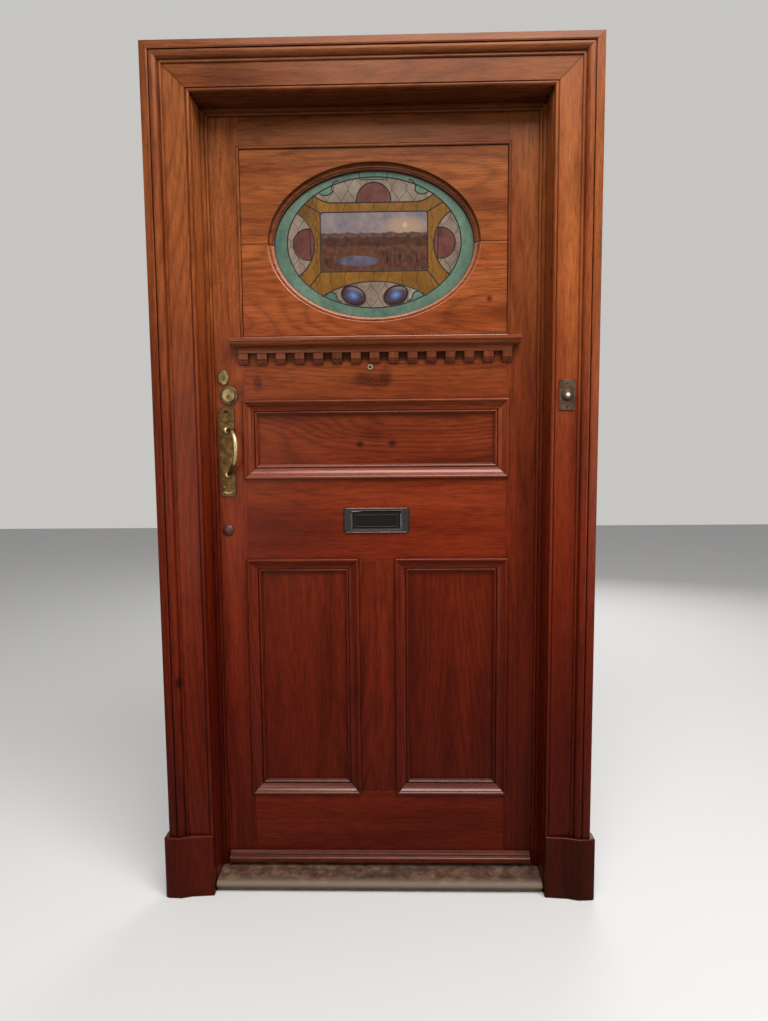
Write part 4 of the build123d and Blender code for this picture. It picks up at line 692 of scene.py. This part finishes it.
def aged_metal(name, bright, dull, seed=0.0, wear=0.5, metallic=0.85, shine=0.36, shaded_hollows=()):
    # Bright is the rubbed colour, dull the tarnished one. Shaded hollows are painted dark as shade in their recess.
    metal, tree, gloss, place = new_material(name)
    where = stretched(tree, place, shift=(seed * 0.31, seed * 0.17, seed * 0.43))
    tarnish = noise(tree, where, 55, 6, 0.68)
    scratches = noise(tree, where, 900, 3, 0.6, 2.0)
    amount = ramp(tree, tarnish, (wear - 0.14, 0.0), (wear + 0.12, 1.0))
    body = mix(tree, "MIX", amount, (*linear(*bright), 1), (*linear(*dull), 1))
    body = mix(tree, "MULTIPLY", 0.35, body, ramp(tree, scratches, (0.35, 0.55), (0.6, 1.1)))
    # Each shaded hollow is painted dark as shade in the recess.
    for x, z, across, high in shaded_hollows:
        body = mix(tree, "MULTIPLY", spot_mask(tree, place, x, z, across, high, 1.3), body, (0.1, 0.07, 0.05, 1))
    # Painted shade darkens the corners of the metal.
    body = mix(tree, "MULTIPLY", 1.0, body, ramp(tree, crevice_shade(tree, 0.004), (0.3, (0.3, 0.22, 0.18)), (0.85, 1.0)))
    tree.links.new(body, gloss.inputs["Base Color"])
    tree.links.new(ramp(tree, tarnish, (0.3, shine - 0.06), (0.7, shine + 0.24)), gloss.inputs["Roughness"])
    gloss.inputs["Metallic"].default_value = metallic
    emboss(tree, gloss, calc(tree, "MULTIPLY_ADD", tarnish, 0.7, scratches), 0.35, 0.0003)
    return metal


def rod(name, points, radius, material, body):
    # A tapering rounded bar along points in metres, each with its own share of the radius.
    return finish_piece(swept(name, [(points, False)], radius, 4), name, material, body, 60)


# The hollow at the head of the plate is painted dark as shade.
handle_brass = aged_metal("handle brass", (120, 90, 48), (84, 60, 32), 1, 0.5,
                          shaded_hollows=((handle_x, 1.3655, 0.007, 0.0055),))
rubbed_brass = aged_metal("rubbed brass", (220, 198, 136), (160, 136, 82), 2, 0.66, shine=0.24)
worn_copy("pull_handle", "leaf", [handle_brass], 0.0006, angle=50)
for label, z, radius in (("upper", 1.313, 0.0102), ("lower", 1.188, 0.0096)):
    bpy.ops.mesh.primitive_uv_sphere_add(segments=32, ring_count=16, radius=radius,
                                         location=(handle_x, plate_face + 0.002 - radius, z))
    finish_piece(bpy.context.object, f"handle_ball_{label}", rubbed_brass, "leaf")
# The middle line of the grip is two arcs, an upper and a longer lower one, on a plane that leans out to the right.
lean_x, lean_y = 0.6163, -0.7875
grip_root, grip_middle = 0.0655, 1.268
upper_bow, lower_bow = 0.04653, 0.084
bow = []
for step in range(33):
    turn = radians(75 - step * 75 / 32)
    bow.append((0.01187 + upper_bow * cos(turn), upper_bow * sin(turn), 0.86 + 0.3 * sin(pi * step / 64)))
for step in range(1, 41):
    turn = radians(-step * 62 / 40)
    bow.append((lower_bow * cos(turn) - 0.0256, lower_bow * sin(turn), 1.16 - 0.35 * step / 40))
grip_line = [(handle_x + lean_x * out, grip_root + lean_y * out, grip_middle + up, share) for out, up, share in bow]
rod("handle_grip_rubbed", grip_line, 0.0058, rubbed_brass, "leaf")
for side in (-1, 1):
    scroll = [(handle_x + side * x, 0.0712, z, share) for x, z, share in
              ((0.0165, 1.3345, 0.5), (0.0150, 1.3385, 0.9), (0.0115, 1.3410, 1.2), (0.0075, 1.3395, 1.1),
               (0.0040, 1.3360, 0.8), (0.0015, 1.3330, 0.5))]
    rod(f"handle_scroll_{side}", scroll, 0.0012, handle_brass, "leaf")
    leaf_line = [(handle_x + side * x, 0.0713, z, share) for x, z, share in
                 ((0.0160, 1.3290, 0.4), (0.0130, 1.3300, 1.0), (0.0115, 1.3255, 1.2), (0.0125, 1.3215, 0.6))]
    rod(f"handle_leaf_{side}", leaf_line, 0.0014, handle_brass, "leaf")
lip = [(handle_x + x, 0.0713, 1.1405 - 0.0035 * cos(pi * x / 0.023), 0.5 + 0.6 * cos(pi * x / 0.026))
       for x in (-0.0115, -0.009, -0.006, -0.003, 0, 0.003, 0.006, 0.009, 0.0115)]
rod("handle_lip", lip, 0.0016, rubbed_brass, "leaf")

# Screws. Slotted brass heads, raised in the handle, bell plate, latch case and keeper, flush in the hinge
# leaves. No two are turned alike.
screw_brass = aged_metal("screw brass", (190, 170, 110), (110, 90, 52), 3, 0.52, shine=0.3)
dark_screw = aged_metal("dark screw", (96, 78, 60), (44, 34, 28), 4, 0.5)


def cut_away(piece, cutter):
    # Saws or drills the shape of the cutter out of a piece.
    pick(piece)
    cut = piece.modifiers.new("cut", "BOOLEAN")
    cut.operation = "DIFFERENCE"
    cut.object = cutter
    bpy.ops.object.modifier_apply(modifier=cut.name)
    bpy.data.objects.remove(cutter)


def slotted_head(name, place, axis, radius, rise, turn, material, body):
    # A round head with a slot sawn across its face. Its flat back lies at the place and faces away from the axis.
    bpy.ops.mesh.primitive_cylinder_add(vertices=24, radius=radius, depth=rise, location=(0, 0, rise / 2))
    head = bpy.context.object
    edge = head.modifiers.new("edge", "BEVEL")
    edge.width = min(rise, radius) * 0.45
    edge.segments = 2
    edge.limit_method = "ANGLE"
    bpy.ops.object.modifier_apply(modifier=edge.name)
    bpy.ops.mesh.primitive_cube_add(size=1, location=(0, 0, rise))
    saw = bpy.context.object
    saw.scale = (radius * 2.4, radius * 0.24, rise * 0.9)
    cut_away(head, saw)
    facing = Vector(axis).to_track_quat("Z", "Y").to_matrix().to_4x4()
    head.matrix_world = Matrix.Translation(place) @ facing @ Matrix.Rotation(turn, 4, "Z")
    return finish_piece(head, name, material, body, 30)


bell_x, _, bell_z = middle_of("bell_button")
bell_flat = -0.021
inner_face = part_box("latch_case")[1][1]
turns = random.Random(7)
for number, side in enumerate((-1, 1)):
    slotted_head(f"handle_screw_{number}", (handle_x + side * 0.012, plate_face, 1.155), (0, -1, 0), 0.0034, 0.0014,
                 turns.uniform(0, 3), screw_brass, "leaf")
for number, up in enumerate((-0.03, 0.03)):
    slotted_head(f"bell_screw_{number}", (bell_x, bell_flat, bell_z + up), (0, -1, 0), 0.003, 0.0010,
                 turns.uniform(0, 3), dark_screw, "frame")
for number, z in enumerate((1.385, 1.435)):
    slotted_head(f"case_screw_{number}", (-0.381, inner_face, z), (0, 1, 0), 0.0034, 0.0010,
                 turns.uniform(0, 3), screw_brass, "leaf")
for number, z in enumerate((1.388, 1.432)):
    slotted_head(f"keeper_screw_{number}", (-0.4895, inner_face, z), (0, 1, 0), 0.0034, 0.0010,
                 turns.uniform(0, 3), screw_brass, "frame")
for height in (0.26, 1.15, 1.96):
    for step in (-0.032, 0.0, 0.032):
        for y in (0.094, 0.110):
            for side, x, facing in (("frame", 0.46235, -1), ("leaf", 0.46115, 1)):
                slotted_head(f"hinge_screw_{side}_{height}_{step}_{y}", (x, y, height + step), (facing, 0, 0), 0.0034,
                             0.0004, turns.uniform(0, 3), screw_brass, side)

# Locks. The rim cylinder of the night latch in its turned ring with the latch case, knob, snib and keeper
# inside; above it the oval cylinder of the mortice deadlock with its forend, bolt and strike.
lock_brass = aged_metal("lock brass", (176, 156, 104), (112, 94, 58), 5, 0.5, shine=0.34)
ring_brass = aged_metal("ring brass", (128, 100, 62), (66, 46, 30), 6, 0.48)
case_bronze = aged_metal("case bronze", (92, 72, 50), (52, 40, 30), 7, 0.5, shine=0.42)
lock_steel = aged_metal("lock steel", (120, 116, 110), (84, 76, 68), 8, 0.5)
for node_name, body, slot, metal in (
        ("latch_cylinder", "leaf", "brass", ring_brass), ("latch_case", "leaf", "dark_brass", case_bronze),
        ("latch_keeper", "frame", "dark_brass", case_bronze), ("latch_knob", "night_latch_knob", "brass", lock_brass),
        ("latch_snib", "night_latch_snib", "brass", lock_brass),
        ("latch_bolt", "night_latch_bolt", "brass", lock_brass),
        ("deadlock_case", "leaf", "lock_steel", lock_steel), ("deadlock_cylinder", "leaf", "brass", lock_brass),
        ("deadlock_bolt", "lock_bolt", "brass", lock_brass), ("lock_strike", "frame", "brass", lock_brass)):
    worn_copy(node_name, body, [metal], 0.0004, angle=28)
for node_name in ("latch_plug", "deadlock_plug"):
    dress(nodes[node_name], aged_metal(node_name + " brass", (150, 130, 84), (92, 74, 44), 9, 0.5))
latch_x, latch_z = -0.408, 1.41
for label, radius, y in (("outer", 0.0242, 0.0708), ("face", 0.0172, 0.0652)):
    bpy.ops.mesh.primitive_torus_add(major_segments=64, minor_segments=10, major_radius=radius, minor_radius=0.0007,
                                     location=(latch_x, y, latch_z), rotation=(pi / 2, 0, 0))
    finish_piece(bpy.context.object, f"latch_ring_{label}", lock_brass, "leaf")
bpy.ops.mesh.primitive_cylinder_add(vertices=48, radius=0.0164, depth=0.0006, location=(latch_x, 0.0648, latch_z),
                                    rotation=(pi / 2, 0, 0))
latch_face = finish_piece(bpy.context.object, "latch_face", lock_brass, "leaf")
bpy.ops.mesh.primitive_cylinder_add(vertices=32, radius=0.0067, depth=0.01, location=(latch_x, 0.0648, latch_z - 0.005),
                                    rotation=(pi / 2, 0, 0))
cut_away(latch_face, bpy.context.object)

# Letter plate and flap. Cast in bronze gone nearly black, with a rounded rim, polished along its edges by the
# hands of carriers and drawn bright there as painted highlight; the flap is plain inside a raised border.
letter_bronze = aged_metal("letter bronze", (34, 28, 29), (20, 15, 15), 10, 0.5, metallic=0.0, shine=0.36)
# Bright bars along the plate's edges are rubbed wear and painted highlight; those round its border are painted
# highlight.
edge_wear_and_highlight = aged_metal("edge bronze wear and highlight", (168, 142, 128), (104, 84, 76), 11, 0.56, metallic=0.6, shine=0.26)
border_highlight = aged_metal("border bronze highlight", (112, 92, 84), (66, 52, 48), 16, 0.54, metallic=0.6, shine=0.3)
worn_copy("letter_plate", "leaf", [letter_bronze], 0.0012, segments=3, angle=28)
flap_bronze = aged_metal("flap bronze", (20, 11, 9), (12, 6, 5), 16, 0.5, metallic=0.0, shine=0.5)
flap_bronze.node_tree.nodes["Principled BSDF"].inputs["Specular IOR Level"].default_value = 0.2
worn_copy("letter_flap", "flap", [flap_bronze], 0.0005, angle=28)


def bar_frame(name, half_width, half_height, x, y, z, radius, material, body):
    # Four round-topped bars that meet at the corners of a rectangle facing outside.
    corners = ((-1, -1), (-1, 1), (1, 1), (1, -1), (-1, -1))
    for number, ((ax, az), (bx, bz)) in enumerate(zip(corners, corners[1:])):
        rod(f"{name}_{number}", [(x + ax * half_width, y, z + az * half_height, 1.0),
                                 (x + bx * half_width, y, z + bz * half_height, 1.0)],
            radius, material, body)


plate_z = middle_of("letter_plate")[2]
bar_frame("flap_border", 0.060, 0.0165, 0.0, 0.0709, plate_z - 0.0015, 0.0011, letter_bronze, "flap")
# Painted highlights along the top and bottom edges of the plate.
for side in (-1, 1):
    rod(f"plate_edge_{side}", [(x, 0.0704, plate_z + side * 0.0338, 1.0) for x in (-0.085, 0.085)], 0.0009,
        edge_wear_and_highlight, "leaf")
# A painted highlight round the plate's border.
bar_frame("plate_border", 0.0722, 0.0278, 0.0, 0.0704, plate_z - 0.0002, 0.0011, border_highlight, "leaf")

# Door viewer, round boss and hinges. Turned brass tube with a lens, a bronze boss gone dark on the lock
# stile, and three brass butt hinges with their pins.
worn_copy("door_viewer", "leaf", [aged_metal("viewer brass", (196, 178, 160), (150, 130, 112), 12)], 0.0003)
bpy.ops.mesh.primitive_uv_sphere_add(segments=24, ring_count=12, radius=0.0042, location=(-0.013, 0.0755, 1.484))
finish_piece(bpy.context.object, "viewer_lens", rolled_glass("viewer lens", (40, 36, 34), (70, 64, 60), 9),
             "leaf")
boss_bronze = aged_metal("boss bronze", (92, 44, 32), (62, 28, 20), 13, 0.5, metallic=0.0, shine=0.3)
bpy.ops.mesh.primitive_uv_sphere_add(segments=40, ring_count=20, radius=1, location=(-0.421, 0.075, 1.032),
                                     rotation=(pi / 2, 0, 0))
dome = bpy.context.object
dome.scale = (0.0164, 0.0164, 0.0084)
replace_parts(finish_piece(dome, "boss_dome", boss_bronze, "leaf", 60), "round_boss")
hinge_brass = aged_metal("hinge brass", (140, 118, 70), (84, 64, 40), 14, 0.48)
for node_name, body in (("frame_hinge_leaves", "frame"), ("leaf_hinge_leaves", "leaf"), ("hinge_pins", "frame")):
    worn_copy(node_name, body, [hinge_brass], 0.0003, segments=1, angle=40)

# Bell push. A bronze plate with a turned boss, brown with age, round a pearl button, on the flat of the right
# architrave.
bell_bronze = aged_metal("bell bronze", (112, 84, 62), (62, 44, 34), 15, 0.5, metallic=0.7, shine=0.4)
worn_copy("bell_plate", "frame", [bell_bronze], 0.0006)
for label, radius, y in (("outer", 0.0138, -0.0218), ("inner", 0.0078, -0.0283)):
    bpy.ops.mesh.primitive_torus_add(major_segments=48, minor_segments=10, major_radius=radius, minor_radius=0.0009,
                                     location=(bell_x, y, bell_z), rotation=(pi / 2, 0, 0))
    finish_piece(bpy.context.object, f"bell_ring_{label}", bell_bronze, "frame")
pearl = rolled_glass("pearl", (226, 216, 206), (246, 240, 232), 60)
pearl.node_tree.nodes["Principled BSDF"].inputs["Roughness"].default_value = 0.22
bpy.ops.mesh.primitive_uv_sphere_add(segments=32, ring_count=16, radius=1, location=(bell_x, -0.029, bell_z))
cap = bpy.context.object
cap.scale = (0.0054, 0.0034, 0.0054)
finish_piece(cap, "pearl_cap", pearl, "bell", 60)
dress(nodes["bell_button"], pearl)

# Studio. A pale floor, white surroundings seen behind the door, one broad soft lamp above and to the left,
# weak fills, and the camera where the photo was taken from.
floor_paint, tree, shader, place = new_material("studio floor")
watched = add_node(tree, "ShaderNodeLightPath").outputs["Is Camera Ray"]
tree.links.new(mix(tree, "MIX", watched, (0.34, 0.33, 0.32, 1), (0.8, 0.79, 0.77, 1)), shader.inputs["Base Color"])
shader.inputs["Roughness"].default_value = 0.8
bpy.ops.mesh.primitive_plane_add(size=14, location=(0, 2, -0.0005))
floor = bpy.context.object
floor.name = "studio_floor"
floor.data.materials.append(floor_paint)

world = bpy.data.worlds.new("studio")
bpy.context.scene.world = world
world.use_nodes = True
tree = world.node_tree
sky = tree.nodes["Background"]
sky.inputs["Color"].default_value = (0.9, 0.9, 0.92, 1)
sky.inputs["Strength"].default_value = 0.3
backdrop = add_node(tree, "ShaderNodeBackground")
backdrop.inputs["Color"].default_value = (0.6, 0.59, 0.57, 1)
backdrop.inputs["Strength"].default_value = 0.95
seen = add_node(tree, "ShaderNodeLightPath")
blend = add_node(tree, "ShaderNodeMixShader")
direct = calc(tree, "MAXIMUM", seen.outputs["Is Camera Ray"], seen.outputs["Is Transmission Ray"])
tree.links.new(calc(tree, "MAXIMUM", direct, seen.outputs["Is Glossy Ray"]), blend.inputs["Fac"])
tree.links.new(sky.outputs["Background"], blend.inputs[1])
tree.links.new(backdrop.outputs["Background"], blend.inputs[2])
tree.links.new(blend.outputs["Shader"], tree.nodes["World Output"].inputs["Surface"])


def lamp(name, place, target, size, power):
    light = bpy.data.lights.new(name, "AREA")
    light.shape = "RECTANGLE"
    light.size, light.size_y = size
    light.energy = power
    made = bpy.data.objects.new(name, light)
    bpy.context.collection.objects.link(made)
    made.location = place
    made.rotation_euler = (Vector(target) - Vector(place)).to_track_quat("-Z", "Y").to_euler()


lamp("soft key", (0.7, -2.0, 4.2), (0, 0, 1.1), (3.2, 2.0), 175)
lamp("side fill", (3.0, -2.6, 1.4), (0, 0, 1.0), (1.6, 2.2), 24)
lamp("front fill", (-1.6, -3.4, 1.2), (0, 0, 0.9), (1.6, 2.0), 16)
lamp("back fill", (1.5, 4.0, 2.6), (0, 0, 1.2), (2.4, 2.4), 60)

eye = bpy.data.cameras.new("photo view")
eye.sensor_fit = "HORIZONTAL"
eye.sensor_width = 36
eye.lens = 31.5
camera = bpy.data.objects.new("photo view", eye)
bpy.context.collection.objects.link(camera)
yaw, pitch, roll = -0.0223, 0.092, 0.0086
ahead = Vector((sin(yaw) * cos(pitch), cos(yaw) * cos(pitch), -sin(pitch)))
right = Vector((cos(yaw), -sin(yaw), 0))
down = ahead.cross(right)
turned_right = right * cos(roll) + down * sin(roll)
turned_down = down * cos(roll) - right * sin(roll)
stand = Matrix((turned_right, -turned_down, -ahead)).transposed().to_4x4()
stand.translation = Vector((0.0638, -1.8125, 1.2593))
camera.matrix_world = stand
bpy.context.scene.camera = camera
bpy.context.scene.view_settings.view_transform = "Standard"
